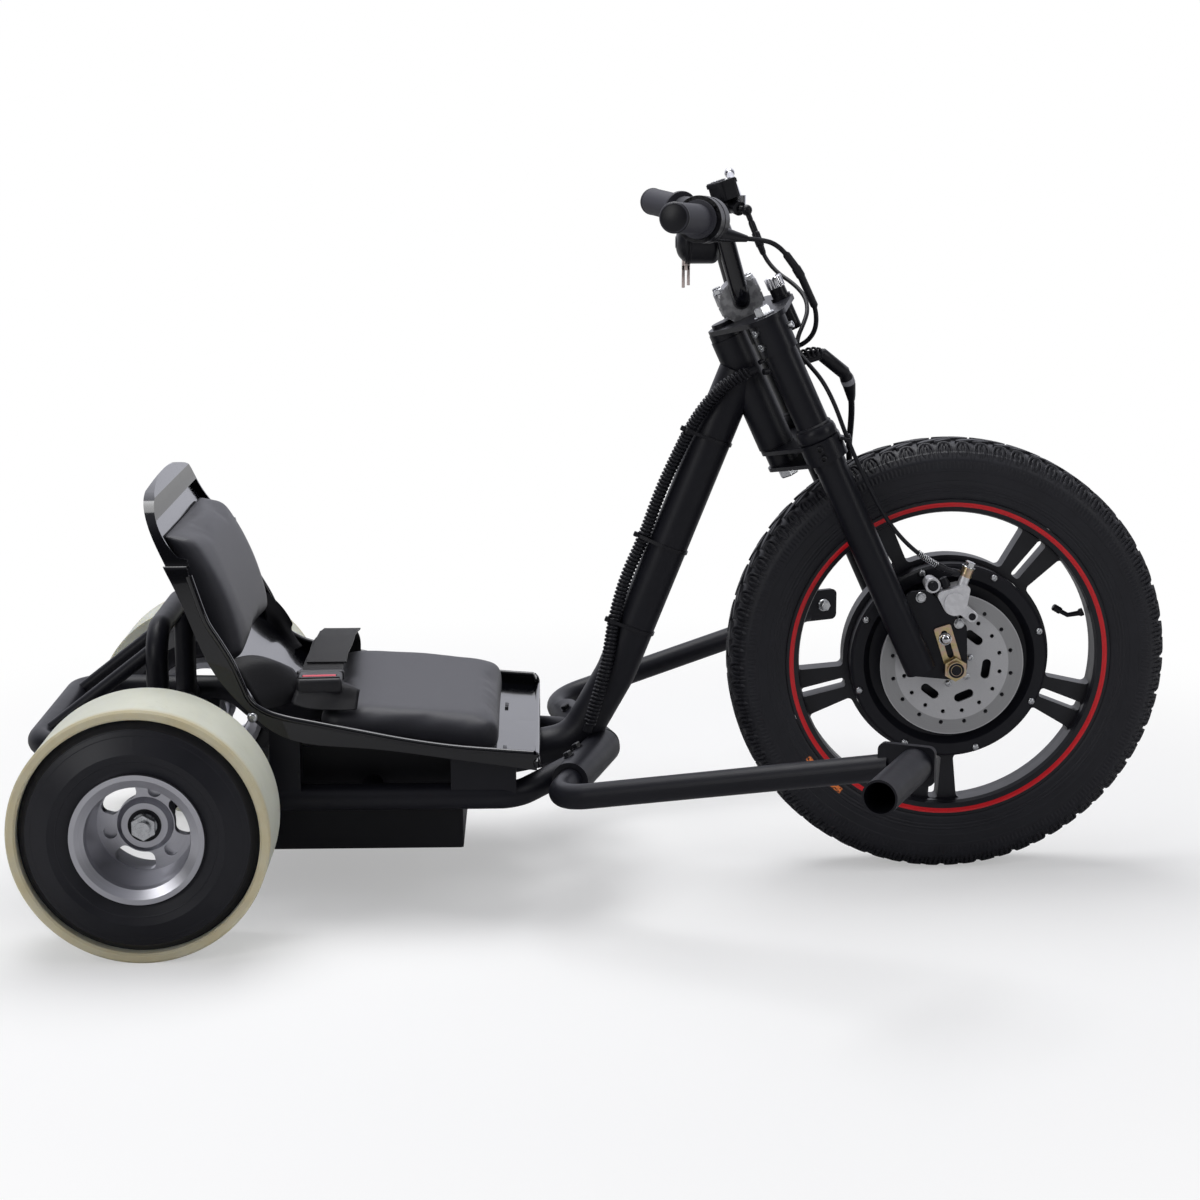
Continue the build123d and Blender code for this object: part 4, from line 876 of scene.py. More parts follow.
# %% [markdown]
# The front tyre has a smooth body with rubber blocks standing on it. The pattern repeats every 48 mm, so
# only one tile of it is drawn: swept lugs in the middle, and along each shoulder ovals with a slit, each
# under an arch. A block is a ribbon laid on the crown's curve, which keeps its top parallel to the tyre. A
# second tree sets the tile round the axle 36 times.

# %% The tyre's body
tyre_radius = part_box("front_tyre")[1][2] - front_axle.z
tile_count = 36
crown_drop, crown_half, crown_curve = 0.003, 0.024, 4.28
groove_depth, groove_end, groove_fade = 0.0036, 0.0385, 0.006


def tread_radius(across):
    """Radius of the blocks' tops at a distance from the middle plane."""
    return tyre_radius - crown_drop * (abs(across) / crown_half) ** crown_curve


def groove(across):
    """Depth of the grooves, which run out towards the wall."""
    return groove_depth * min(1.0, max(0.0, (groove_end - abs(across)) / groove_fade))


def tyre_body():
    half_crown = [value / 1000 for value in (5, 13, 20, 25, 29, 32, 34, 35.5, 37, 38)]
    crown = [-across for across in reversed(half_crown)] + half_crown
    wall = [
        (0.0388, 0.2475), (0.039, 0.24), (0.039, 0.232), (0.0385, 0.224), (0.0376, 0.216), (0.0364, 0.209),
        (0.0352, 0.2042),
    ]
    profile = [(-across, radius) for across, radius in reversed(wall)]
    profile += [(across, tread_radius(across) - groove(across)) for across in crown]
    profile += wall + [(0.034, 0.2036), (-0.034, 0.2036)]
    shape = bmesh.new()
    spin(shape, profile, front_axle, (0, 1, 0), 180, closed=True)
    return as_piece("front_tyre_body", shape, front_rubber, 50)


# %% One tile of the tread
def on_tread(around, across, sunk):
    """Place on the tyre, by the arc along its crown, the distance from its middle and the depth."""
    radius = tread_radius(across) - sunk
    angle = around / tyre_radius
    return (radius * sin(angle), across, radius * cos(angle))


block_depth, block_corner, block_flank = 0.0046, 0.0006, 0.0007


def rubber_ribbon(shape, path):
    """A block of rubber along a path of (around, across, width, direction) steps."""
    rings = []
    for around, across, width, direction in path:
        side = (-sin(direction), cos(direction))
        half = width / 2
        outline = [(half - block_corner, 0), (half, block_corner), (half + block_flank, block_depth)]
        ring = []
        for offset, sunk in [(-offset, sunk) for offset, sunk in reversed(outline)] + outline:
            place = on_tread(around + side[0] * offset, across + side[1] * offset, sunk)
            ring.append(shape.verts.new(place))
        rings.append(ring)
    for lower, upper in zip(rings, rings[1:]):
        for step in range(len(lower) - 1):
            shape.faces.new((lower[step], lower[step + 1], upper[step + 1], upper[step]))
    shape.faces.new(rings[0])
    shape.faces.new(list(reversed(rings[-1])))


def arc_path(middle, radii, first, last, width, steps, mirror):
    """Steps along part of an ellipse on the tread, in millimetres."""
    path = []
    for step in range(steps + 1):
        angle = radians(first + (last - first) * step / steps)
        around = middle[0] + radii[0] * cos(angle)
        across = middle[1] + radii[1] * sin(angle)
        direction = atan2(mirror * radii[1] * cos(angle), -radii[0] * sin(angle))
        path.append((around / 1000, mirror * across / 1000, width / 1000, direction))
    return path


def curve_path(points, mirror):
    """Steps through (around, across, width) points, in millimetres."""
    path = []
    for step, (around, across, width) in enumerate(points):
        before = points[max(step - 1, 0)]
        after = points[min(step + 1, len(points) - 1)]
        direction = atan2(mirror * (after[1] - before[1]), after[0] - before[0])
        path.append((around / 1000, mirror * across / 1000, width / 1000, direction))
    return path


def tread_tile():
    """Every (around, across, width) here is in millimetres."""
    arch = [(9.3, 37.5, 2.2), (9.4, 33, 2.2), (9.0, 28.5, 2.2), (6.6, 23.6, 2.4), (2.6, 21.2, 2.6)]
    shape = bmesh.new()
    for mirror, shift in ((1, 0), (-1, 24)):
        for eye in (-12 + shift, 12 + shift):
            rubber_ribbon(shape, arc_path((eye - 1.2, 30.5), (2.6, 4.6), 95, 265, 3.0, 7, mirror))
            rubber_ribbon(shape, arc_path((eye + 1.2, 30.5), (2.6, 4.6), -85, 85, 3.0, 7, mirror))
            hood = [(eye - aside, across, width) for aside, across, width in arch]
            hood += [(eye + aside, across, width) for aside, across, width in reversed(arch)]
            rubber_ribbon(shape, curve_path(hood, mirror))
        blade = [
            (-20, 18.2, 3.0), (-14, 15.4, 7.0), (-7, 11.2, 9.5), (0, 7.2, 10.0), (7, 4.4, 8.0),
            (13, 2.9, 4.5), (18, 2.2, 2.4),
        ]
        fin = [(1, 17.6, 2.4), (7, 15.2, 5.4), (13, 11.6, 6.4), (18, 8.8, 5.6), (23, 7.2, 2.8)]
        for lug in (blade, fin):
            path = [(around + shift, across, width) for around, across, width in lug]
            rubber_ribbon(shape, curve_path(path, mirror))
    return as_piece("tread_tile", shape, front_rubber, 30)


# %% Tree that repeats a piece round an axle that runs along Y
def round_axle_tree():
    inputs = [("Tile", "Object"), ("Count", "Int"), ("Middle", "Vector"), ("Finish", "Material")]
    tree, given, result = geometry_tree("repeat_round_axle", inputs)
    points = wire(tree, "GeometryNodePoints", {"Count": given.outputs["Count"]})
    index = wire(tree, "GeometryNodeInputIndex")
    part = wire(
        tree, "ShaderNodeMath", {0: index.outputs[0], 1: given.outputs["Count"]},
        settings={"operation": "DIVIDE"},
    )
    angle = wire(tree, "ShaderNodeMath", {0: part.outputs[0]}, {1: tau}, settings={"operation": "MULTIPLY"})
    euler = wire(tree, "ShaderNodeCombineXYZ", {"Y": angle.outputs[0]})
    turn = wire(tree, "FunctionNodeEulerToRotation", {0: euler.outputs[0]})
    tile = wire(tree, "GeometryNodeObjectInfo", {"Object": given.outputs["Tile"]})
    links = {"Points": points.outputs[0], "Instance": tile.outputs["Geometry"], "Rotation": turn.outputs[0]}
    placed = wire(tree, "GeometryNodeInstanceOnPoints", links)
    real = wire(tree, "GeometryNodeRealizeInstances", {0: placed.outputs[0]})
    moved = wire(
        tree, "GeometryNodeTransform",
        {"Geometry": real.outputs[0], "Translation": given.outputs["Middle"]},
    )
    paint_and_send(tree, moved.outputs[0], given, result)
    return tree


def empty_holder(name):
    holder = bpy.data.objects.new(name, bpy.data.meshes.new(name))
    scene.collection.objects.link(holder)
    return holder


repeat_round_axle = round_axle_tree()
tile = tread_tile()
values = {"Tile": tile, "Count": tile_count, "Middle": tuple(front_axle), "Finish": front_rubber}
tread = run_tree("front_tread", repeat_round_axle, empty_holder("tread_holder"), values)
bpy.data.objects.remove(tile)
tyre = tyre_body()
ride_all("front_wheel", tread, tyre)
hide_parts("front_tyre")
print("tread faces:", len(tread.data.polygons), "body faces:", len(tyre.data.polygons))

# %% [markdown]
# The wheels carry small metal: screws round the motor's cover and the brake disc, a bent valve that points
# at the axle, and a sealed bearing in each rear hub. Each is set by its circle, its first angle and its
# side.

# %% Screws and valve of the front wheel
def circle_spots(middle, radius, count, phase, side_y, facing):
    spots = []
    for step in range(count):
        angle = radians(phase) + tau * step / count
        spots.append((middle + Vector((radius * cos(angle), side_y, radius * sin(angle))), facing))
    return spots


motor_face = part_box("hub_motor")[1][1]
disc_face = -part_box("brake_disc")[0][1]
near, far = Vector((0, -1, 0)), Vector((0, 1, 0))
cover_circle, cover_screws, cover_turn = 0.1176, 8, 18.2
cover_spots = circle_spots(front_axle, cover_circle, cover_screws, cover_turn, -motor_face, near)
cover_spots += circle_spots(front_axle, cover_circle, cover_screws, cover_turn, motor_face, far)
fasten("motor_cover_screws", "front_wheel", button_screw, 0.0088, zinc, cover_spots, 3)
disc_circle, disc_screws, disc_turn = 0.0243, 6, 20.5
disc_spots = circle_spots(front_axle, disc_circle, disc_screws, disc_turn, -disc_face, near)
fasten("disc_screws", "front_wheel", button_screw, 0.0085, zinc, disc_spots, 4)


valve_bends = [
    (0.175, 0, 0.053), (0.164, 0, 0.0485), (0.153, 0, 0.0485), (0.146, 0, 0.0545), (0.135, 0, 0.0605),
]
valve_points = [front_axle + Vector(place) for place in valve_bends]
valve_curve = cable_curve("valve_route", valve_points, 0.006)
valve_line = line_of(valve_curve)
bpy.data.objects.remove(valve_curve)
valve_steps = [
    (0, 0.0052), (0.004, 0.005), (0.006, 0.0034), (0.02, 0.003), (0.03, 0.003), (0.0305, 0.0042),
    (0.0335, 0.0046), (0.035, 0.0042), (0.0365, 0.0046), (0.038, 0.0042), (0.0395, 0.0046),
    (0.041, 0.0042), (0.042, 0.0032),
]
valve = sleeve_along("tyre_valve", valve_line, valve_steps, moulded_black, 20)
ride_all("front_wheel", valve)
print("valve line", len(valve_line), "motor face", motor_face, "disc face", disc_face)

# %% Bearings of the rear hubs
rear_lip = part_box("rear_rim_left")[1][1]
hub_recess = 0.057
hub_face = rear_lip - hub_recess
seal_rings = [
    (-0.001, 0.0142), (0.0004, 0.0142), (0.0006, 0.0148), (0.0006, 0.0176), (0.0012, 0.018),
    (0.0012, 0.0192), (-0.001, 0.0192),
]
for side, body in ((1, "rear_wheel_left"), (-1, "rear_wheel_right")):
    seal = bmesh.new()
    face = rear_axle + Vector((0, side * hub_face, 0))
    spin(seal, seal_rings, face, (0, side, 0), 40, closed=True)
    seal_piece = as_piece("hub_seal_" + body.split("_")[-1], seal, moulded_black)
    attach(seal_piece, body)
print("hub face", hub_face)

# %% [markdown]
# The brake caliper is a casting with machined faces. Round it sit the parts that come with every caliper: a
# slide pin under a rubber cap, an ear with a rubber bush, two plated bolts through the fork's plate, and a
# banjo fitting, where copper washers seal the hose's eye under a hollow bolt.

# %% Fittings of the caliper and the axle
plate_face = -0.077
caliper_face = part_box("brake_caliper")[0][1]
out_right = (0, -1, 0)
pin_end = at_axle(0.016, -0.078, 0.107)
ear = at_axle(0.045, -0.077, 0.05)
ear_bush = bmesh.new()
bush_profile = [(-0.002, 0.0001), (-0.002, 0.0044), (0.0008, 0.0044), (0.0014, 0.0038), (0.0014, 0.0001)]
spin(ear_bush, bush_profile, ear, out_right, 24)
pin_cap = [(0, 0.0001), (0, 0.0062), (0.006, 0.0062), (0.0075, 0.005), (0.0078, 0.0001)]
spin(ear_bush, pin_cap, pin_end, out_right, 24)
bleed_cap = [(0, 0.0001), (0, 0.0055), (0.004, 0.006), (0.008, 0.0052), (0.0125, 0.0046), (0.0135, 0.0001)]
spin(ear_bush, bleed_cap, at_axle(0.0315, -0.07, 0.096), upward, 24)
rubber_caps = as_piece("caliper_rubbers", ear_bush, moulded_black)
pin_ring = bmesh.new()
pin_profile = [
    (-0.024, 0.0001), (-0.024, 0.0085), (-0.006, 0.0085), (-0.005, 0.0097), (0.0015, 0.0097),
    (0.0026, 0.0088), (0.0026, 0.0066), (0, 0.0064), (0, 0.0001),
]
spin(pin_ring, pin_profile, pin_end, out_right, 32)
ear_ring = [(-0.003, 0.0046), (-0.003, 0.0069), (0.0004, 0.0069), (0.0008, 0.0064), (0.0008, 0.0048)]
spin(pin_ring, ear_ring, ear, out_right, 32, closed=True)
pin_sleeve = as_piece("caliper_slide_pin", pin_ring, bright_cast)
banjo_place = at_axle(0.0585, -0.069, 0.0995)
banjo_way = (forward + upward).normalized()
washers = bmesh.new()
for along in (-0.0018, 0.0082):
    washer = [(along, 0.0045), (along, 0.0078), (along + 0.0016, 0.0078), (along + 0.0016, 0.0045)]
    spin(washers, washer, banjo_place, banjo_way, 32, closed=True)
hose_eye = [(-0.0002, 0.004), (0.0002, 0.0071), (0.0078, 0.0071), (0.0082, 0.004)]
spin(washers, hose_eye, banjo_place, banjo_way, 32, closed=True)
washer_piece = as_piece("banjo_washers", washers, gold_zinc)
ride_all("steering", rubber_caps, pin_sleeve, washer_piece)
fasten("banjo_bolt", "steering", hex_bolt, 0.0122, zinc, [(banjo_place + banjo_way * 0.0098, banjo_way)], 5)
plate_bolts = [
    (at_axle(-0.003, plate_face, 0.099), out_right), (at_axle(0.027, plate_face, 0.049), out_right),
]
fasten("caliper_plate_bolts", "steering", hex_bolt, 0.0095, zinc, plate_bolts, 6)
tab_side, cap_side = 0.0801, 0.0881
dome_nut = [
    (0, 0.0001), (0, 0.008), (0.0012, 0.008), (0.0016, 0.0066), (0.003, 0.0066), (0.0052, 0.0056),
    (0.0066, 0.0036), (0.0071, 0.0001),
]
end_cap = [
    (0, 0.0001), (0, 0.0102), (0.004, 0.0102), (0.0056, 0.009), (0.0056, 0.0072), (0.0046, 0.0066),
    (0.0058, 0.0052), (0.0062, 0.0001),
]
tab_bolts = bmesh.new()
axle_caps = bmesh.new()
for side in (-1, 1):
    spin(tab_bolts, dome_nut, at_axle(0.0037, side * tab_side, 0.0394), (0, side, 0), 32)
    spin(axle_caps, end_cap, front_axle + Vector((0, side * cap_side, 0)), (0, side, 0), 32)
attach(as_piece("tab_bolts", tab_bolts, chrome), "steering")
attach(as_piece("axle_end_caps", axle_caps, moulded_black), "steering")
print("caliper face", caliper_face)

# %% [markdown]
# The fork is clamped at three levels, and every clamp shows its bolts. They are measured along the fork, so
# that they lean with it.

# %% Bolts of the fork, crown, sockets, pegs and seat
back_way = -forward
leg_fore, leg_side = 0.046, 0.085
plate_top, collar_levels, front_level, crown_levels = 0.088, (0.074, 0.056), 0.066, (-0.083, -0.095)
collar_radius, crown_radius, socket_radius = 0.0228, 0.0258, 0.0224


def on_leg(side, level):
    """The middle of a fork leg at a level above or under the head tube's middle."""
    return steer(leg_fore, side * leg_side, level)


fork_spots = [(on_leg(side, plate_top), upward) for side in (-1, 1)]
fasten("fork_top_bolts", "steering", hex_bolt, 0.0185, zinc, fork_spots, 7)
collar_spots = []
crown_spots = []
for side in (-1, 1):
    outward = Vector((0, side, 0))
    collar_way = (back_way * 0.75 + outward * 0.66).normalized()
    for level in collar_levels:
        collar_spots.append((on_leg(side, level) + collar_way * collar_radius, collar_way))
    front_way = (forward * 0.93 + outward * 0.37).normalized()
    collar_spots.append((on_leg(side, front_level) + front_way * collar_radius, front_way))
    crown_way = (back_way * 0.2 + outward * 0.98).normalized()
    for level in crown_levels:
        crown_spots.append((on_leg(side, level) + crown_way * crown_radius, crown_way))
fasten("collar_bolts", "steering", socket_bolt, 0.0085, zinc, collar_spots, 8)
fasten("crown_bolts", "steering", socket_bolt, 0.0085, moulded_black, crown_spots, 9)
fasten("stem_nut", "steering", hex_bolt, 0.022, zinc, [(steer(0, 0, -0.102), -upward)], 10)
clamp_top = 0.0185
clamp_spots = []
for fore in (-0.0205, 0.0205):
    for left in (-0.013, 0.013):
        place = bar_middle + forward * fore + Vector((0, left, 0)) + upward * clamp_top
        clamp_spots.append((place, upward))
fasten("clamp_bolts", "steering", hex_bolt, 0.0095, zinc, clamp_spots, 11)
lug = [
    (-0.03, 0.0001), (-0.03, 0.0066), (-0.0188, 0.0072), (-0.0186, 0.006), (-0.0174, 0.006),
    (-0.0172, 0.0072), (-0.0012, 0.0068), (0, 0.006), (0, 0.0001),
]
lugs = bmesh.new()
for place, way in clamp_spots:
    spin(lugs, lug, place, way, 24)
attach(as_piece("clamp_lugs", lugs, cast_silver), "steering")
tube_foot = -0.0755
weld = [
    (0, 0.0195), (0, 0.0228), (0.003, 0.0246), (0.009, 0.0251), (0.014, 0.0243), (0.0165, 0.0224),
    (0.0185, 0.0224), (0.0205, 0.0206), (0.0205, 0.0195),
]
beads = bmesh.new()
for side in (-1, 1):
    spin(beads, weld, on_leg(side, tube_foot), upward, 48, closed=True)
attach(as_piece("crown_beads", beads, fork_paint), "steering")

socket_middle = behind(0.4315, 0, 0.158)
lean = radians(15.7)
socket_bolts = []
for side in (-1, 1):
    along_socket = Vector((-sin(lean), side * cos(lean), 0))
    socket_way = (Vector((-cos(lean), -side * sin(lean), 0)) * 0.5 + Vector((0, 0, 0.86))).normalized()
    for reach in (0.083, 0.124):
        place = socket_middle + along_socket * reach + socket_way * socket_radius
        socket_bolts.append((place, socket_way))
fasten("socket_bolts", "frame", hex_bolt, 0.0105, moulded_black, socket_bolts, 12)

peg_length = 0.1402
peg_spots = []
for mount in frame["record"]["mounts"]:
    outward = Vector(mount["axis"])
    peg_spots.append((Vector(mount["pos_m"]) - outward * peg_length, -outward))
fasten("peg_plate_bolts", "frame", hex_bolt, 0.013, zinc, peg_spots, 13)
shell_outside, shell_inside = 0.2001, 0.1958
shell_bolts = [(behind(0.848, side * shell_outside, 0.252), (0, side, 0)) for side in (-1, 1)]
shell_bolts += [(behind(0.848, side * shell_inside, 0.252), (0, -side, 0)) for side in (-1, 1)]
fasten("shell_bolts", "frame", button_screw, 0.0125, zinc, shell_bolts, 14)
print("pegs:", [tuple(round(value, 4) for value in place) for place, way in peg_spots])

# %% [markdown]
# A rubber grip is pressed on with a thick closed end and a rim towards the hand control. Fine rings run
# round it, too small for the solid. The profile is spun along the bar's own end, which slopes down and
# back, and a hard plastic cap closes each end.

# %% Grips and the throttle's housing
bar_tip = on_bar(-0.095, 0.243, 0.11)
bar_bend = on_bar(-0.043, 0.1, 0.1005)


def on_grip(side, inward):
    tip = Vector((bar_tip.x, side * bar_tip.y, bar_tip.z))
    bend = Vector((bar_bend.x, side * bar_bend.y, bar_bend.z))
    return tip + (bend - tip).normalized() * inward


def grip_profile(length, hollow):
    """The grip from its closed end inwards, with a recess in the end and ribs along its middle."""
    profile = [
        (-0.0022, 0.0001), (-0.0022, 0.0022), (-0.003, 0.0032), (-0.003, 0.0142), (-0.0024, 0.0162),
        (-0.0006, 0.0174), (0.0035, 0.0175), (0.0045, 0.0169), (0.0055, 0.0169),
    ]
    along = 0.008
    while along < length - 0.012:
        profile += [(along, 0.01715), (along + 0.0011, 0.0174), (along + 0.0022, 0.01715)]
        along += 0.0029
    profile += [
        (length - 0.008, 0.0172), (length - 0.0062, 0.0176), (length - 0.0052, 0.0222),
        (length - 0.0012, 0.0225), (length, 0.0218), (length, hollow),
    ]
    return profile


for side, name in ((1, "grip_left"), (-1, "twist_grip")):
    shape = bmesh.new()
    inward = on_grip(side, 1) - on_grip(side, 0)
    spin(shape, grip_profile(0.096, 0.0116), on_grip(side, 0), inward, 56)
    grip_piece = as_piece(name + "_ribbed", shape, handle_rubber, 50)
    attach(grip_piece, "steering")
    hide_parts(name)

seams = bmesh.new()
bell_way = on_grip(-1, 1) - on_grip(-1, 0)
inner_seam = [(-0.0012, 0.022), (-0.0012, 0.0266), (-0.0004, 0.0274), (0.0012, 0.0274), (0.002, 0.0271)]
spin(seams, inner_seam, on_grip(-1, 0.0982), bell_way, 56)
outer_seam = [(0.0, 0.0271), (0.0004, 0.0275), (0.0014, 0.0275), (0.0018, 0.0271)]
spin(seams, outer_seam, on_grip(-1, 0.116), bell_way, 56)
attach(as_piece("throttle_seams", seams, moulded_black), "steering")
end_cap = [
    (-0.0034, 0.0001), (-0.0034, 0.0138), (-0.0028, 0.0152), (-0.0012, 0.0172), (0.0002, 0.0177),
    (0.0016, 0.0177), (0.0018, 0.0172),
]
end_caps = bmesh.new()
for side in (-1, 1):
    spin(end_caps, end_cap, on_grip(side, 0), on_grip(side, 1) - on_grip(side, 0), 56)
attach(as_piece("grip_end_caps", end_caps, moulded_black), "steering")
print("grips:", [tuple(round(value, 3) for value in on_grip(side, 0)) for side in (-1, 1)])

# %% [markdown]
# The small controls stay as solids, and get what the hand finds on them: a ribbed lid with two screws on
# the brake fluid's tank, a bezel round the gauge and a fluted metal cap on the lock. Only the key is drawn
# anew, as a bow with two blades that hangs under the gauge.

# %% Tank lid, gauge bezel, lock cap and key
bar_run = (on_grip(1, 0) - on_grip(1, 0.096)).normalized()
tank_lean = radians(18)
tank_up = Vector((-sin(tank_lean), 0, cos(tank_lean)))
tank_run = (bar_run - tank_up * bar_run.dot(tank_up)).normalized()
tank_side = tank_up.cross(tank_run)
tank_top = on_bar(-0.008, 0.117, 0.117) + tank_up * 0.023
tank_turn = Matrix((tank_run, tank_side, tank_up)).transposed().to_quaternion()
lid = bmesh.new()
block(lid, (0.045, 0.0225, 0.0016), tank_top + tank_up * 0.0006, tank_turn, 0.0006)
rib_pitch = 0.0036
for step in (-2, -1, 0, 1, 2):
    rib_place = tank_top + tank_up * 0.0016 + tank_side * step * rib_pitch
    block(lid, (0.03, 0.0016, 0.0014), rib_place, tank_turn, 0.0005)
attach(as_piece("tank_lid_ribs", lid, moulded_black, 40), "steering")
lid_spots = [(tank_top + tank_up * 0.0012 + tank_run * reach, tank_up) for reach in (-0.0188, 0.0188)]
fasten("tank_lid_screws", "steering", button_screw, 0.0048, zinc, lid_spots, 15)

gauge_back = on_bar(-0.079, -0.01, 0.0706)
gauge_way = (1, 0, 0)
bezel = bmesh.new()
face_rim = [(0.0105, 0.0225), (0.0105, 0.0262), (0.0112, 0.0266), (0.0135, 0.0266), (0.014, 0.0262)]
spin(bezel, face_rim, gauge_back, gauge_way, 64)
glass_rim = [(0.0148, 0.0258), (0.0148, 0.0264), (0.0172, 0.0264), (0.0178, 0.0258)]
spin(bezel, glass_rim, gauge_back, gauge_way, 64)
back_button = [(-0.0008, 0.0001), (-0.0008, 0.0068), (-0.0002, 0.0074), (0.0006, 0.0074)]
spin(bezel, back_button, gauge_back, gauge_way, 40)
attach(as_piece("gauge_bezel", bezel, moulded_black), "steering")

cap_steps, cap_flutes = 96, 12
cap = bmesh.new()
cap_rings = []
lock_top = steer(0.078, 0, 0.1035)
cap_turn = upward.to_track_quat("Z", "Y")
cap_profile = [
    (-0.0008, 0.0101, 0), (0, 0.0112, 0.0009), (0.0125, 0.0112, 0.0009), (0.0132, 0.0103, 0),
    (0.0136, 0.0085, 0), (0.013, 0.0078, 0), (0.0128, 0.0001, 0),
]
for along, radius, flute in cap_profile:
    ring = []
    for step in range(cap_steps):
        angle = tau * step / cap_steps
        reach = radius - flute * (0.5 + 0.5 * cos(angle * cap_flutes))
        place = Vector((reach * cos(angle), reach * sin(angle), along))
        ring.append(cap.verts.new(lock_top + cap_turn @ place))
    cap_rings.append(ring)
bridge(cap, cap_rings)
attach(as_piece("lock_cap", cap, chrome, 30), "steering")

key_top = gauge_back + Vector((0.012, 0, -0.015))
key_thickness = 0.002
key_shape = bmesh.new()
key_bow = [(0, 0.0001), (0, 0.0045), (0.013, 0.0045), (0.013, 0.0001)]
spin(key_shape, key_bow, key_top, (0, 0, -1), 24)
key_plates = [(0.01, 0.013, 0, -0.0125), (0.0038, 0.028, -0.0031, -0.026), (0.0036, 0.025, 0.0031, -0.0245)]
for width, drop, fore, up in key_plates:
    size = (width, key_thickness, drop)
    block(key_shape, size, key_top + Vector((fore, 0, up)), bevel=0.0007)
key_piece = as_piece("ignition_key", key_shape, key_nickel, 30)
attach(key_piece, "steering")
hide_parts("key")
print("controls dressed")

# %% [markdown]
# Hoses end in crimped sleeves, and a spring keeps the hose from kinking where it meets the caliper. Such
# things are made along the cable's own line: a sleeve from (distance, radius) stations, a spring from a
# pitch.

# %% Crimps and spring guard of the brake hose
def stretch(line, first, last):
    """The part of a line between two distances along it."""
    kept = []
    reach = 0.0
    for before, after in zip(line, line[1:]):
        run = (after - before).length
        if reach + run >= first and reach <= last:
            kept.append(before.lerp(after, max(0.0, (first - reach) / run)))
            if reach + run > last:
                kept.append(before.lerp(after, (last - reach) / run))
        reach += run
    return kept


def line_length(line):
    return sum((after - before).length for before, after in zip(line, line[1:]))


def coil(name, line, radius, pitch, wire_thickness, material, steps_per_turn=12):
    """A spring or spiral wrap wound round a line that it follows."""
    total = line_length(line)
    turns = total / pitch
    count = int(turns * steps_per_turn)
    points = []
    side = (line[1] - line[0]).orthogonal().normalized()
    reach, index = 0.0, 0
    for step in range(count + 1):
        wanted = total * step / count * 0.9999
        while index < len(line) - 2 and reach + (line[index + 1] - line[index]).length < wanted:
            reach += (line[index + 1] - line[index]).length
            index += 1
        run = line[index + 1] - line[index]
        middle = line[index] + run.normalized() * (wanted - reach)
        ahead = run.normalized()
        side = (side - ahead * side.dot(ahead)).normalized()
        angle = tau * turns * step / count
        points.append(middle + radius * (side * cos(angle) + ahead.cross(side) * sin(angle)))
    piece = frozen(drawn_curve(name, "POLY", points, wire_thickness, 1)[0])
    piece.data.materials.clear()
    piece.data.materials.append(material)
    return piece


hose_length = line_length(hose_line)
top_crimp = [
    (0.001, 0.0036), (0.004, 0.0042), (0.016, 0.0042), (0.017, 0.0052), (0.034, 0.0052), (0.035, 0.0044),
    (0.044, 0.0038), (0.046, 0.0032),
]
foot_steps = [
    (0.034, 0.0033), (0.032, 0.0046), (0.022, 0.0046), (0.021, 0.0038), (0.012, 0.0038), (0.011, 0.0046),
    (0.002, 0.0046), (0.001, 0.004),
]
foot_crimp = [(hose_length - distance, radius) for distance, radius in foot_steps]
hose_crimps = bmesh.new()
for crimp in (top_crimp, foot_crimp):
    add_sleeve(hose_crimps, hose_line, crimp, 20)
crimps = as_piece("hose_crimps", hose_crimps, moulded_black, 30)
guarded = stretch(hose_line, hose_length - 0.062, hose_length - 0.03)
guard = coil("hose_spring_guard", guarded, 0.0036, 0.0026, 0.0012, zinc)
ride_all("steering", crimps, guard)
print("brake hose", round(hose_length, 3), "guard faces", len(guard.data.polygons))

# %% [markdown]
# The seat has two foam cushions under tight vinyl. Foam is made here as the real thing behaves: the closed
# form is remeshed into an even net, and a cloth simulation blows it up a little, so that its faces crown
# and its edges round off by themselves. What lies against the shell must not swell, so a point only keeps
# the part of its way that leads out of the seat, and never more than a cap. Smoothing before and after
# keeps the steps of the net out of the crown.

# %% Cushions blown up as cloth
cloth_frames = 20


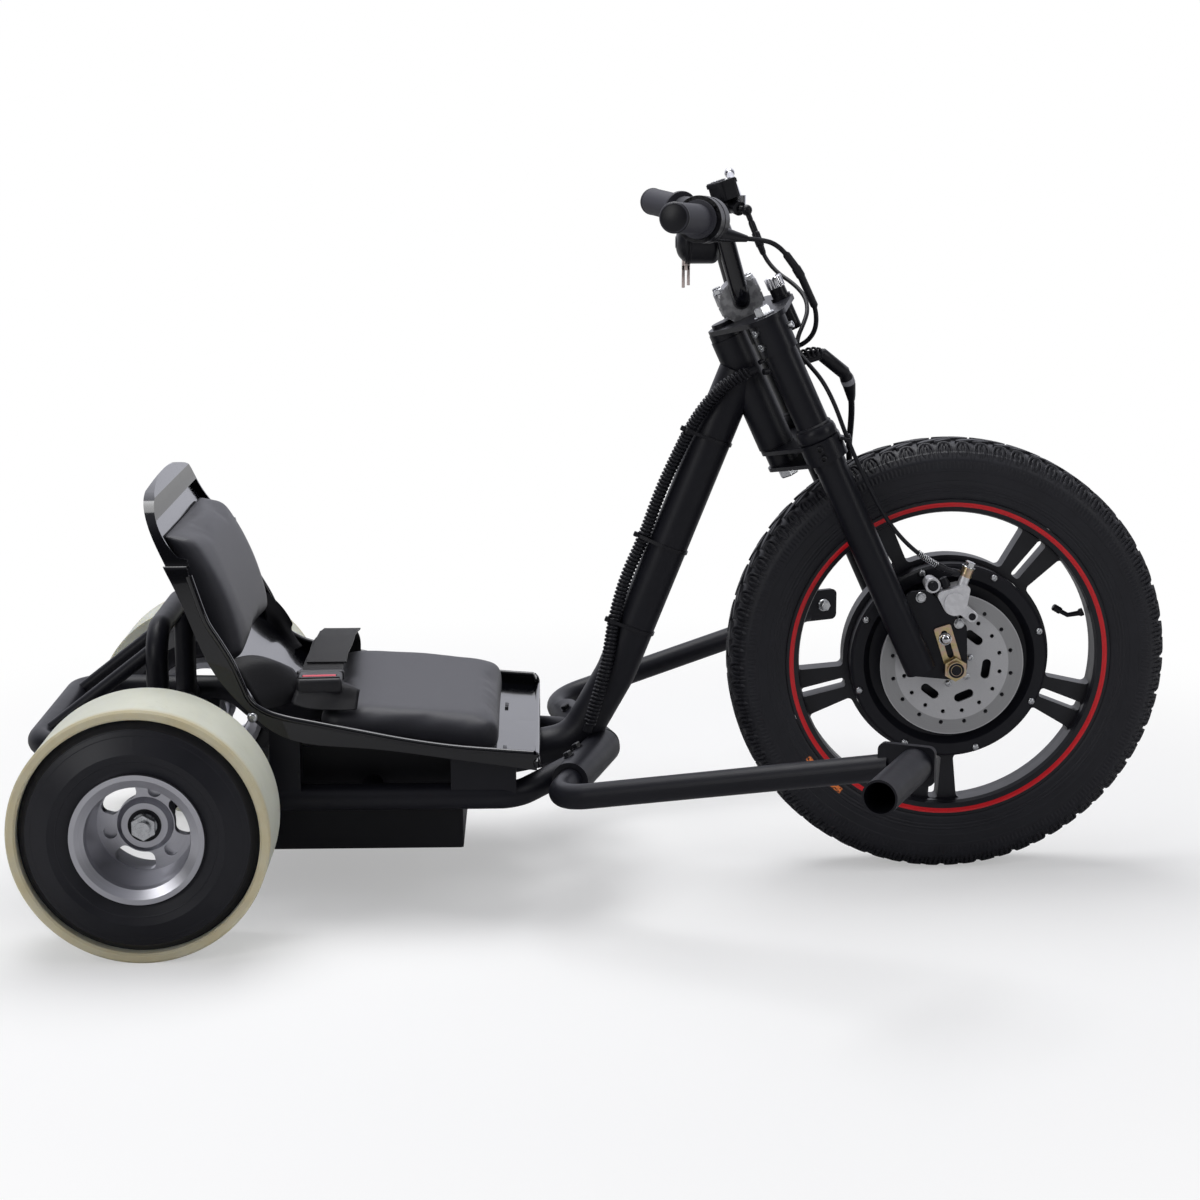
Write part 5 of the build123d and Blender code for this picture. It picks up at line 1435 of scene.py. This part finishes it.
def cushion(name, node, outward, voxel, cap, smoothing):
    source = frame["nodes"][node]
    piece = bpy.data.objects.new(name, source.data.copy())
    scene.collection.objects.link(piece)
    shape = bmesh.new()
    shape.from_mesh(piece.data)
    bmesh.ops.remove_doubles(shape, verts=shape.verts, dist=0.00002)
    bmesh.ops.recalc_face_normals(shape, faces=shape.faces)
    shape.to_mesh(piece.data)
    shape.free()
    remesh = piece.modifiers.new("even_net", "REMESH")
    remesh.mode = "VOXEL"
    remesh.voxel_size = voxel
    settle = piece.modifiers.new("settle", "SMOOTH")
    settle.factor = 0.5
    settle.iterations = smoothing
    piece.data = as_mesh(piece)
    piece.modifiers.clear()
    rest = [vertex.co.copy() for vertex in piece.data.vertices]
    normals = [vertex.normal.copy() for vertex in piece.data.vertices]
    cloth = piece.modifiers.new("blown_up", "CLOTH")
    cloth.settings.quality = 4
    cloth.settings.mass = 0.4
    cloth.settings.tension_stiffness = 40
    cloth.settings.compression_stiffness = 40
    cloth.settings.shear_stiffness = 20
    cloth.settings.use_pressure = True
    cloth.settings.uniform_pressure_force = 4
    cloth.settings.effector_weights.gravity = 0
    cloth.collision_settings.use_collision = False
    scene.frame_start = 1
    scene.frame_end = cloth_frames
    cloth.point_cache.frame_start = 1
    cloth.point_cache.frame_end = cloth_frames
    for step in range(1, cloth_frames + 1):
        scene.frame_set(step)
    swollen = as_mesh(piece)
    moves = [vertex.co - before for vertex, before in zip(swollen.vertices, rest)]
    piece.modifiers.clear()
    scene.frame_set(1)
    way = Vector(outward).normalized()
    for vertex, before, move, normal in zip(piece.data.vertices, rest, moves, normals):
        free = min(1.0, max(0.0, (normal.dot(way) + 0.15) / 0.6))
        if move.length > cap:
            move = move * (cap / move.length)
        vertex.co = before + move * free
    calm = piece.modifiers.new("calm", "SMOOTH")
    calm.factor = 0.6
    calm.iterations = 12
    smoother = piece.modifiers.new("skin", "SUBSURF")
    smoother.levels = 1
    smoother.render_levels = 1
    piece.data = as_mesh(piece)
    piece.modifiers.clear()
    piece.data.shade_smooth()
    piece.data.materials.clear()
    piece.data.materials.append(vinyl)
    largest = max(move.length for move in moves) * 1000
    print(name, len(piece.data.polygons), "faces, largest move", round(largest, 1), "mm")
    return piece


seat_pad = cushion("seat_pad", "seat_cushion", (0.05, 0, 1), 0.005, 0.006, 5)
back_pad = cushion("back_pad", "back_cushion", (1, 0, 0.3), 0.005, 0.008, 8)
for piece, node in ((seat_pad, "seat_cushion"), (back_pad, "back_cushion")):
    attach(piece, "frame")
    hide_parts(node)

# %% [markdown]
# The shell's edge is rolled over into a bead, which is what catches the long white lines of light. The bead
# is a thin tube along the edge of each side, as far as the headrest, and round the front.

# %% Rolled edge of the seat shell, and painted shade in its slots
def tube_along(shape, line, radius, segments=12):
    """A closed tube of one radius along a line."""
    side = None
    rings = []
    for index, middle in enumerate(line):
        ahead = (line[min(index + 1, len(line) - 1)] - line[max(index - 1, 0)]).normalized()
        side = Vector((0, 0, 1)).cross(ahead) if side is None else side
        side = (side - ahead * side.dot(ahead)).normalized()
        rings.append(ring_round(shape, middle, radius, side, ahead.cross(side), segments))
    bridge(shape, rings)
    shape.faces.new(rings[0])
    shape.faces.new(rings[-1])


def smooth_line(points, steps):
    """Catmull-Rom points through the given ones."""
    line = []
    padded = [points[0] * 2 - points[1]] + points + [points[-1] * 2 - points[-2]]
    for before, first, second, after in zip(padded, padded[1:], padded[2:], padded[3:]):
        for step in range(steps):
            part = step / steps
            slope = second - before
            bend = 2 * before - 5 * first + 4 * second - after
            twist = 3 * first - before - 3 * second + after
            line.append(0.5 * (2 * first + slope * part + bend * part ** 2 + twist * part ** 3))
    line.append(points[-1])
    return line


shell_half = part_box("seat_shell")[1][1]
bead_radius, bead_inset = 0.0042, 0.0032
bead_side = shell_half - bead_inset
edge_places = [
    (0.519, 0.2035), (0.56, 0.2068), (0.615, 0.212), (0.67, 0.2205), (0.727, 0.232), (0.775, 0.242),
    (0.812, 0.25), (0.835, 0.2585), (0.851, 0.271), (0.861, 0.294), (0.871, 0.318), (0.885, 0.343),
    (0.899, 0.367), (0.911, 0.403), (0.9165, 0.421),
]
bead = bmesh.new()
for side in (-1, 1):
    edge = [behind(distance, side * bead_side, height) for distance, height in edge_places]
    tube_along(bead, smooth_line(edge, 4), bead_radius)
front_corner = [(0.519, bead_side, 0.2035), (0.5155, bead_side - 0.006, 0.199), (0.5148, 0.17, 0.1885)]
front_edge = [behind(distance, -left, height) for distance, left, height in front_corner]
front_edge += [behind(*place) for place in reversed(front_corner)]
tube_along(bead, smooth_line(front_edge, 6), bead_radius)
bead_piece = as_piece("shell_rolled_edge", bead, shell_gloss, 60)
tray_slope = Quaternion((0, 1, 0), radians(8))
# At each slot of the tray a thin black plate lies on the surface. Its black is painted shade for the opening.
slots = bmesh.new()
for left in (0.065, -0.143):
    block(slots, (0.0045, 0.016, 0.0012), behind(0.5534, left, 0.1968), tray_slope, 0.0005)
slot_shade_plates = as_piece("tray_slots", slots, moulded_black, 40)
ride_all("frame", bead_piece, slot_shade_plates)
print("rolled edge faces", len(bead_piece.data.polygons))

# %% [markdown]
# A lap belt crosses the cushion. Webbing is stiff along its length and keeps its width, so it is laid as a
# band along a line of points, with rolled edges. A second layer lies on it where the belt doubles back
# through its adjuster. The ends pass through sleeves of thin vinyl, which crease.

# %% Belt band
strap_width = 0.0485
strap_outline = [
    (-1, -0.4), (-0.985, -1), (0.985, -1), (1, -0.4), (1, 0.4), (0.985, 1), (0.5, 0.9), (-0.5, 0.9),
    (-0.985, 1), (-1, 0.4),
]


def band(shape, points, thickness, sway):
    """A strap along points, its width along the ride, its outline in half widths and half thicknesses."""
    line = smooth_line(points, 8)
    rings = []
    for index, middle in enumerate(line):
        ahead = (line[min(index + 1, len(line) - 1)] - line[max(index - 1, 0)]).normalized()
        across = (Vector((1, 0, 0)) - ahead * ahead.x).normalized()
        over = ahead.cross(across)
        shift = across * (sway * sin(index * 0.33))
        half, thick = strap_width / 2, thickness / 2
        ring = []
        for side, lift in strap_outline:
            ring.append(shape.verts.new(middle + shift + across * (half * side) + over * (lift * thick)))
        rings.append(ring)
    bridge(shape, rings)
    shape.faces.new(rings[0])
    shape.faces.new(rings[-1])


belt_low, belt_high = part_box("belt_strap")
belt_middle = (belt_low[0] + belt_high[0]) / 2
strap = bmesh.new()


def on_belt(left, height, ahead=0.0):
    return Vector((belt_middle + ahead, left, height))


strap_places = [
    (0.1925, 0.234), (0.188, 0.258), (0.15, 0.2765), (0.1, 0.2815), (0.05, 0.2855), (0, 0.2862),
    (-0.05, 0.2855), (-0.1, 0.2795),
]
band(strap, [on_belt(*place) for place in strap_places], 0.0022, 0.0006)
double_places = [
    (0.165, 0.2768, 0.003), (0.12, 0.2835, 0.003), (0.07, 0.288, 0.0035), (0.02, 0.2895, 0.0035),
    (-0.03, 0.2892, 0.003), (-0.07, 0.2868, 0.003),
]
band(strap, [on_belt(*place) for place in double_places], 0.002, 0.0005)
strap_piece = as_piece("belt_webbing", strap, webbing, 50)
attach(strap_piece, "frame")
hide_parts("belt_strap")

# %% Buckle with its red button and tongue
buckle_black = dusty(
    "buckle_plastic", specular=0.35, grain=(40, 4), pores=(1500, 2), bump=(0.00005, 0.5),
    tones=((0.008, 0.008, 0.01), (0.018, 0.018, 0.021)), roughness=(0.36, 0.16),
)
buckle_red = dusty(
    "buckle_button_red", specular=0.4, grain=(60, 3), pores=(900, 2), bump=(0.00004, 0.4),
    tones=((0.52, 0.016, 0.045), (0.62, 0.024, 0.06)), roughness=(0.35, 0.12),
)
buckle_low, buckle_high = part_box("belt_buckle")
buckle_middle = Vector((belt_middle, (buckle_low[1] + buckle_high[1]) / 2, 0.2765))
buckle_turn = Quaternion((0, 0, 1), radians(4)) @ Quaternion((1, 0, 0), radians(-4))


def in_buckle(ahead, left, up):
    return buckle_middle + buckle_turn @ Vector((ahead, left, up))


body_shape = bmesh.new()
buckle_blocks = [
    ((0.054, 0.056, 0.019), (0, -0.004, 0), 0.0045),  # its body
    ((0.046, 0.005, 0.004), (0, -0.0255, 0.0092), 0.0012),  # the frame round the button
    ((0.046, 0.005, 0.004), (0, -0.0115, 0.0092), 0.0012),
    ((0.004, 0.018, 0.004), (0.0225, -0.0185, 0.0092), 0.0012),
    ((0.004, 0.018, 0.004), (-0.0225, -0.0185, 0.0092), 0.0012),
    ((0.058, 0.012, 0.013), (0, 0.031, 0.003), 0.0035),  # the tongue's grip
    ((0.05, 0.022, 0.0032), (0, 0.045, 0.006), 0.0012),  # the tongue
]
for size, place, bevel in buckle_blocks:
    block(body_shape, size, in_buckle(*place), buckle_turn, bevel)
buckle_piece = as_piece("belt_buckle_body", body_shape, buckle_black, 40)
button_shape = bmesh.new()
block(button_shape, (0.04, 0.0095, 0.0032), in_buckle(0, -0.0185, 0.0102), buckle_turn, 0.0012)
button_piece = as_piece("belt_button", button_shape, buckle_red, 40)
ride_all("frame", buckle_piece, button_piece)
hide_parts("belt_buckle")

# %% Vinyl sleeves at the belt's two ends
sleeve_thickness = 0.0012


def sheet_through(name, rows, material):
    """A thin creased sleeve through rows of places, each a (distance, left, height) behind the front axle."""
    shape = bmesh.new()
    upper = []
    for row in rows:
        line = smooth_line([behind(*place) for place in row], 5)
        upper.append([shape.verts.new(point) for point in line])
    for first, second in zip(upper, upper[1:]):
        for step in range(len(first) - 1):
            shape.faces.new((first[step], first[step + 1], second[step + 1], second[step]))
    piece = as_piece(name, shape, material, 60)
    skin = piece.modifiers.new("skin", "SUBSURF")
    skin.levels = skin.render_levels = 2
    solid = piece.modifiers.new("thick", "SOLIDIFY")
    solid.thickness = sleeve_thickness
    solid.offset = 0
    piece.data = as_mesh(piece)
    piece.modifiers.clear()
    piece.data.shade_smooth()
    return piece


boot_rows = [
    [(0.882, -0.158, 0.31), (0.868, -0.172, 0.3), (0.85, -0.186, 0.276), (0.838, -0.188, 0.258)],
    [(0.858, -0.146, 0.316), (0.846, -0.158, 0.306), (0.83, -0.172, 0.276), (0.824, -0.176, 0.256)],
    [(0.836, -0.134, 0.309), (0.824, -0.146, 0.306), (0.81, -0.16, 0.28), (0.808, -0.164, 0.26)],
    [(0.812, -0.122, 0.294), (0.804, -0.136, 0.292), (0.792, -0.152, 0.276), (0.79, -0.158, 0.264)],
]
sleeve_cloth = coated(
    "belt_sleeve_cloth", (0.0025, 0.0025, 0.0035), (0.006, 0.006, 0.0082), 0.5, 0.0004, 0.16,
)
near_boot = sheet_through("belt_sleeve_right", boot_rows, sleeve_cloth)
flap_rows = [
    [(0.882, 0.186, 0.33), (0.876, 0.178, 0.3), (0.87, 0.176, 0.268), (0.862, 0.17, 0.24)],
    [(0.868, 0.19, 0.317), (0.864, 0.183, 0.292), (0.862, 0.186, 0.264), (0.85, 0.172, 0.242)],
    [(0.852, 0.191, 0.301), (0.854, 0.186, 0.284), (0.846, 0.18, 0.26), (0.836, 0.176, 0.246)],
    [(0.84, 0.192, 0.279), (0.842, 0.19, 0.27), (0.834, 0.184, 0.258), (0.826, 0.178, 0.25)],
]
far_flap = sheet_through("belt_sleeve_left", flap_rows, sleeve_cloth)
tail_rows = [
    [(0.806, -0.176, 0.262), (0.8, -0.16, 0.276), (0.796, -0.145, 0.279), (0.792, -0.128, 0.272)],
    [(0.786, -0.18, 0.256), (0.782, -0.166, 0.268), (0.78, -0.149, 0.284), (0.778, -0.131, 0.276)],
    [(0.765, -0.178, 0.254), (0.763, -0.163, 0.27), (0.761, -0.15, 0.279), (0.759, -0.136, 0.281)],
    [(0.744, -0.174, 0.253), (0.742, -0.162, 0.262), (0.741, -0.15, 0.276), (0.74, -0.137, 0.277)],
    [(0.728, -0.17, 0.252), (0.727, -0.16, 0.262), (0.726, -0.149, 0.27), (0.726, -0.138, 0.268)],
]
buckle_sleeve = sheet_through("belt_sleeve_buckle", tail_rows, sleeve_cloth)
ride_all("frame", near_boot, far_flap, buckle_sleeve)
belt_faces = [len(piece.data.polygons) for piece in (strap_piece, near_boot, far_flap, buckle_sleeve)]
print("belt faces:", belt_faces)

# %% [markdown]
# The two cables between frame and fork bend when the fork turns. Here they are plain meshes with their
# places baked in, and everything that sits on such a cable is drawn along the same line.

# %% Cables, with their sheath and sleeves
sheath_grey = coated("sheath_grey_band", (0.2, 0.2, 0.22), (0.3, 0.3, 0.32), 0.42, 0.00005)


def on_cable(piece):
    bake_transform(piece)


sheath_stations = [
    (0.03, 0.0042), (0.032, 0.0062), (0.085, 0.0072), (0.088, 0.0086), (0.128, 0.0086), (0.131, 0.0078),
    (0.134, 0.0078), (0.137, 0.0084), (0.15, 0.0082), (0.166, 0.0058), (0.172, 0.0046),
]
sheath = sleeve_along("motor_sheath", motor_line, sheath_stations, moulded_black, 24)
taped = stretch(motor_line, 0.03, 0.088)
sheath_wrap = coil("motor_sheath_wrap", taped, 0.0066, 0.0062, 0.0034, cable_black)
mark_stations = [(0.139, 0.0082), (0.1392, 0.0088), (0.1468, 0.0087), (0.147, 0.0081)]
sheath_mark = sleeve_along("motor_sheath_mark", motor_line, mark_stations, sheath_grey, 24)
bundle_stations = [
    (0.058, 0.0031), (0.061, 0.0046), (0.082, 0.0048), (0.084, 0.0056), (0.096, 0.0055), (0.098, 0.0047),
    (0.14, 0.0047), (0.143, 0.0034),
]
bundle = sleeve_along("throttle_bundle", throttle_line, bundle_stations, cable_black, 20)
for cable in (throttle_cable, motor_cable):
    cable.data.materials.append(cable_black)
for piece in (throttle_cable, motor_cable, sheath, sheath_wrap, sheath_mark, bundle):
    on_cable(piece)
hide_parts("throttle_cable")
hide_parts("motor_cable")

# %% [markdown]
# The harness down the tube is one core with a spiral wrap round it, held by zip ties. A tie is a flat band
# round both the tube and the harness, so its outline is the hull of the two circles, and its head is a
# small block beside them.

# %% Harness, wrap and ties
down_tube_radius, wrapped_radius = 0.0253, 0.0083
tie_width, tie_thickness, tie_head = 0.0042, 0.0014, 0.0105


def hull_points(points):
    """The points on the hull of a flat cloud, in order."""
    def turns_in(first, second, third):
        rise = (second[0] - first[0]) * (third[1] - first[1])
        return rise <= (second[1] - first[1]) * (third[0] - first[0])

    def half(cloud):
        kept = []
        for point in cloud:
            while len(kept) > 1 and turns_in(kept[-2], kept[-1], point):
                kept.pop()
            kept.append(point)
        return kept[:-1]

    ordered = sorted(points)
    return half(ordered) + half(list(reversed(ordered)))


def nearest_on_harness(down):
    """Where the harness lies beside the tube at a distance down it: (back, left)."""
    centre = on_tube(down, 0, 0)
    point = min(harness_line, key=lambda place: abs((place - centre).dot(tube_run)))
    return (point - centre).dot(tube_back), (point - centre).y


def tie_round(shape, down, beside):
    """A band round the tube and the harness at a distance down the tube."""
    centre = on_tube(down, 0, 0)
    aside = Vector((0, 1, 0))
    circle = []
    for step in range(48):
        angle = tau * step / 48
        circle.append((down_tube_radius * cos(angle), down_tube_radius * sin(angle)))
        circle.append((beside[0] + wrapped_radius * cos(angle), beside[1] + wrapped_radius * sin(angle)))
    rim = hull_points(circle)
    middle = Vector((sum(point[0] for point in rim) / len(rim), sum(point[1] for point in rim) / len(rim)))
    order = sorted(rim, key=lambda point: atan2(point[1] - middle.y, point[0] - middle.x))
    rings = []
    half = tie_width / 2
    for along, lift in ((-half, 0), (-half, tie_thickness), (half, tie_thickness), (half, 0)):
        ring = []
        for back, left in order:
            out = Vector((back - middle.x, left - middle.y)).normalized() * lift
            place = centre + tube_run * along + tube_back * (back + out.x) + aside * (left + out.y)
            ring.append(shape.verts.new(place))
        rings.append(ring)
    bridge(shape, rings, closed=True)


ties = bmesh.new()
for down in (0.0885, 0.234, 0.345):
    beside = nearest_on_harness(down)
    tie_round(ties, down, beside)
    head_way = tube_back * beside[0] + Vector((0, beside[1], 0))
    head_place = on_tube(down, 0, 0) + head_way * ((head_way.length + tie_head) / head_way.length)
    block(ties, (0.0055, 0.0062, 0.0062), head_place, Quaternion((0, 1, 0), 0.4), 0.001)
ties_piece = as_piece("zip_ties", ties, moulded_black, 40)
wrapped = stretch(harness_line, 0.012, line_length(harness_line) - 0.01)
wrap = coil("harness_wrap", wrapped, 0.0061, 0.005, 0.0046, cable_black)
for cable in (brake_hose, harness):
    cable.data.materials.append(cable_black)
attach(brake_hose, "steering")
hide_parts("brake_hose")
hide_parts("wiring_harness")
ride_all("frame", harness, wrap, ties_piece)
clip_level = -0.088
clip_place = min(hose_line, key=lambda place: abs((place - head).dot(upward) - clip_level))
clip = bmesh.new()
clip_turn = Quaternion((0, 1, 0), 0.2)
block(clip, (0.014, 0.03, 0.0035), clip_place + Vector((-0.004, 0.006, 0)), clip_turn, 0.001)
clip_ring = [(-0.004, 0.0031), (-0.004, 0.0048), (0.004, 0.0048), (0.004, 0.0031)]
spin(clip, clip_ring, clip_place, upward, 24, closed=True)
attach(as_piece("hose_clip", clip, moulded_black), "steering")
print("wrap faces", len(wrap.data.polygons), "tie faces", len(ties_piece.data.polygons))
for fastener in (hex_bolt, button_screw, socket_bolt):
    bpy.data.objects.remove(fastener)

# %% [markdown]
# The trike stands on pale paper under soft lamps. The paper is white to the camera and keeps the shadow,
# while reflections see it darker near the trike and bright only far away. They see the world as a dim, cool
# sky that brightens overhead and on the far side. The lamps stay weak, so that black stays black.

# %% Floor, world and lamps
def studio():
    paper = Finish("paper_floor", {"Specular IOR Level": 0.1, "Roughness": 0.9})
    paper_white = paper.mix(paper.grain(3, 2), (0.93, 0.93, 0.935), (0.95, 0.95, 0.955))
    in_mirror = paper.node("ShaderNodeLightPath", output="Is Glossy Ray")
    paper.drive("Base Color", paper.mix(in_mirror, paper_white, (0.4, 0.4, 0.41)))
    x, y, z = paper.split()
    reach = (x * x + y * y) ** 0.5
    far = reach.rising(0.7, 1.55)
    seen = paper.node("ShaderNodeLightPath", output="Is Camera Ray")
    glossy = paper.node("ShaderNodeLightPath", output="Is Glossy Ray")
    through = paper.node("ShaderNodeLightPath", output="Is Transmission Ray")
    bright = paper.node("ShaderNodeEmission", None, {"Color": (1, 1, 1, 1), "Strength": 1.0})
    near_glow = 0.4
    to_eye = (near_glow + (1 - near_glow) * far) * seen + near_glow * far * (glossy + through)
    lit = Field(paper.tree, paper.shader.outputs[0])
    blended = paper.node("ShaderNodeMixShader", None, {0: to_eye, 1: lit, 2: bright})
    paper.tree.links.new(blended.socket, paper.tree.nodes["Material Output"].inputs["Surface"])
    mesh = bpy.data.meshes.new("paper_floor")
    half = 14
    corners = [(-half, -half, 0), (half, -half, 0), (half, half, 0), (-half, half, 0)]
    mesh.from_pydata(corners, [], [(0, 1, 2, 3)])
    floor = bpy.data.objects.new("paper_floor", mesh)
    floor.data.materials.append(paper.material)
    scene.collection.objects.link(floor)

    world = bpy.data.worlds.new("studio_world")
    scene.world = world
    world.use_nodes = True
    tree = world.node_tree
    background = tree.nodes["Background"]
    rays = ("Is Camera Ray", "Is Glossy Ray", "Is Transmission Ray")
    seen, glossy, through = [add_node(tree, "ShaderNodeLightPath", output=name) for name in rays]
    way = add_node(tree, "ShaderNodeTexCoord", output="Generated")
    depth = add_node(tree, "ShaderNodeSeparateXYZ", None, {0: way}, 1)
    height = add_node(tree, "ShaderNodeSeparateXYZ", None, {0: way}, 2)
    mirrored = 0.06 + 0.36 * height.rising(0.3, 0.85) + 0.9 * depth.rising(0.1, 0.6)
    ambient = 0.22
    strength = ambient + (1 - ambient) * seen + (mirrored - ambient) * (glossy + through)
    cool = add_node(
        tree, "ShaderNodeMix", {"data_type": "RGBA"}, {0: seen, 6: (0.9, 0.91, 1, 1), 7: (1, 1, 1, 1)}, 2,
    )
    tree.links.new(cool.socket, background.inputs["Color"])
    tree.links.new(strength.socket, background.inputs["Strength"])


def lamp(name, place, aim, size, watts):
    data = bpy.data.lights.new(name, "AREA")
    data.shape = "RECTANGLE"
    data.size, data.size_y = size
    data.energy = watts
    light = bpy.data.objects.new(name, data)
    light.location = place
    light.rotation_euler = (Vector(aim) - Vector(place)).to_track_quat("-Z", "Y").to_euler()
    scene.collection.objects.link(light)


studio()
lamp("overhead", (-0.4, 0.5, 3.0), (0, 0, 0.3), (2.6, 1.8), 78)
lamp("side_fill", (-2.4, -2.8, 1.9), (0, 0, 0.3), (1.2, 1.6), 26)
lamp("front_strip", (2.6, -1.6, 1.9), (0.3, 0, 0.3), (0.5, 2.0), 16)
scene.view_settings.view_transform = "Standard"
print("studio ready")
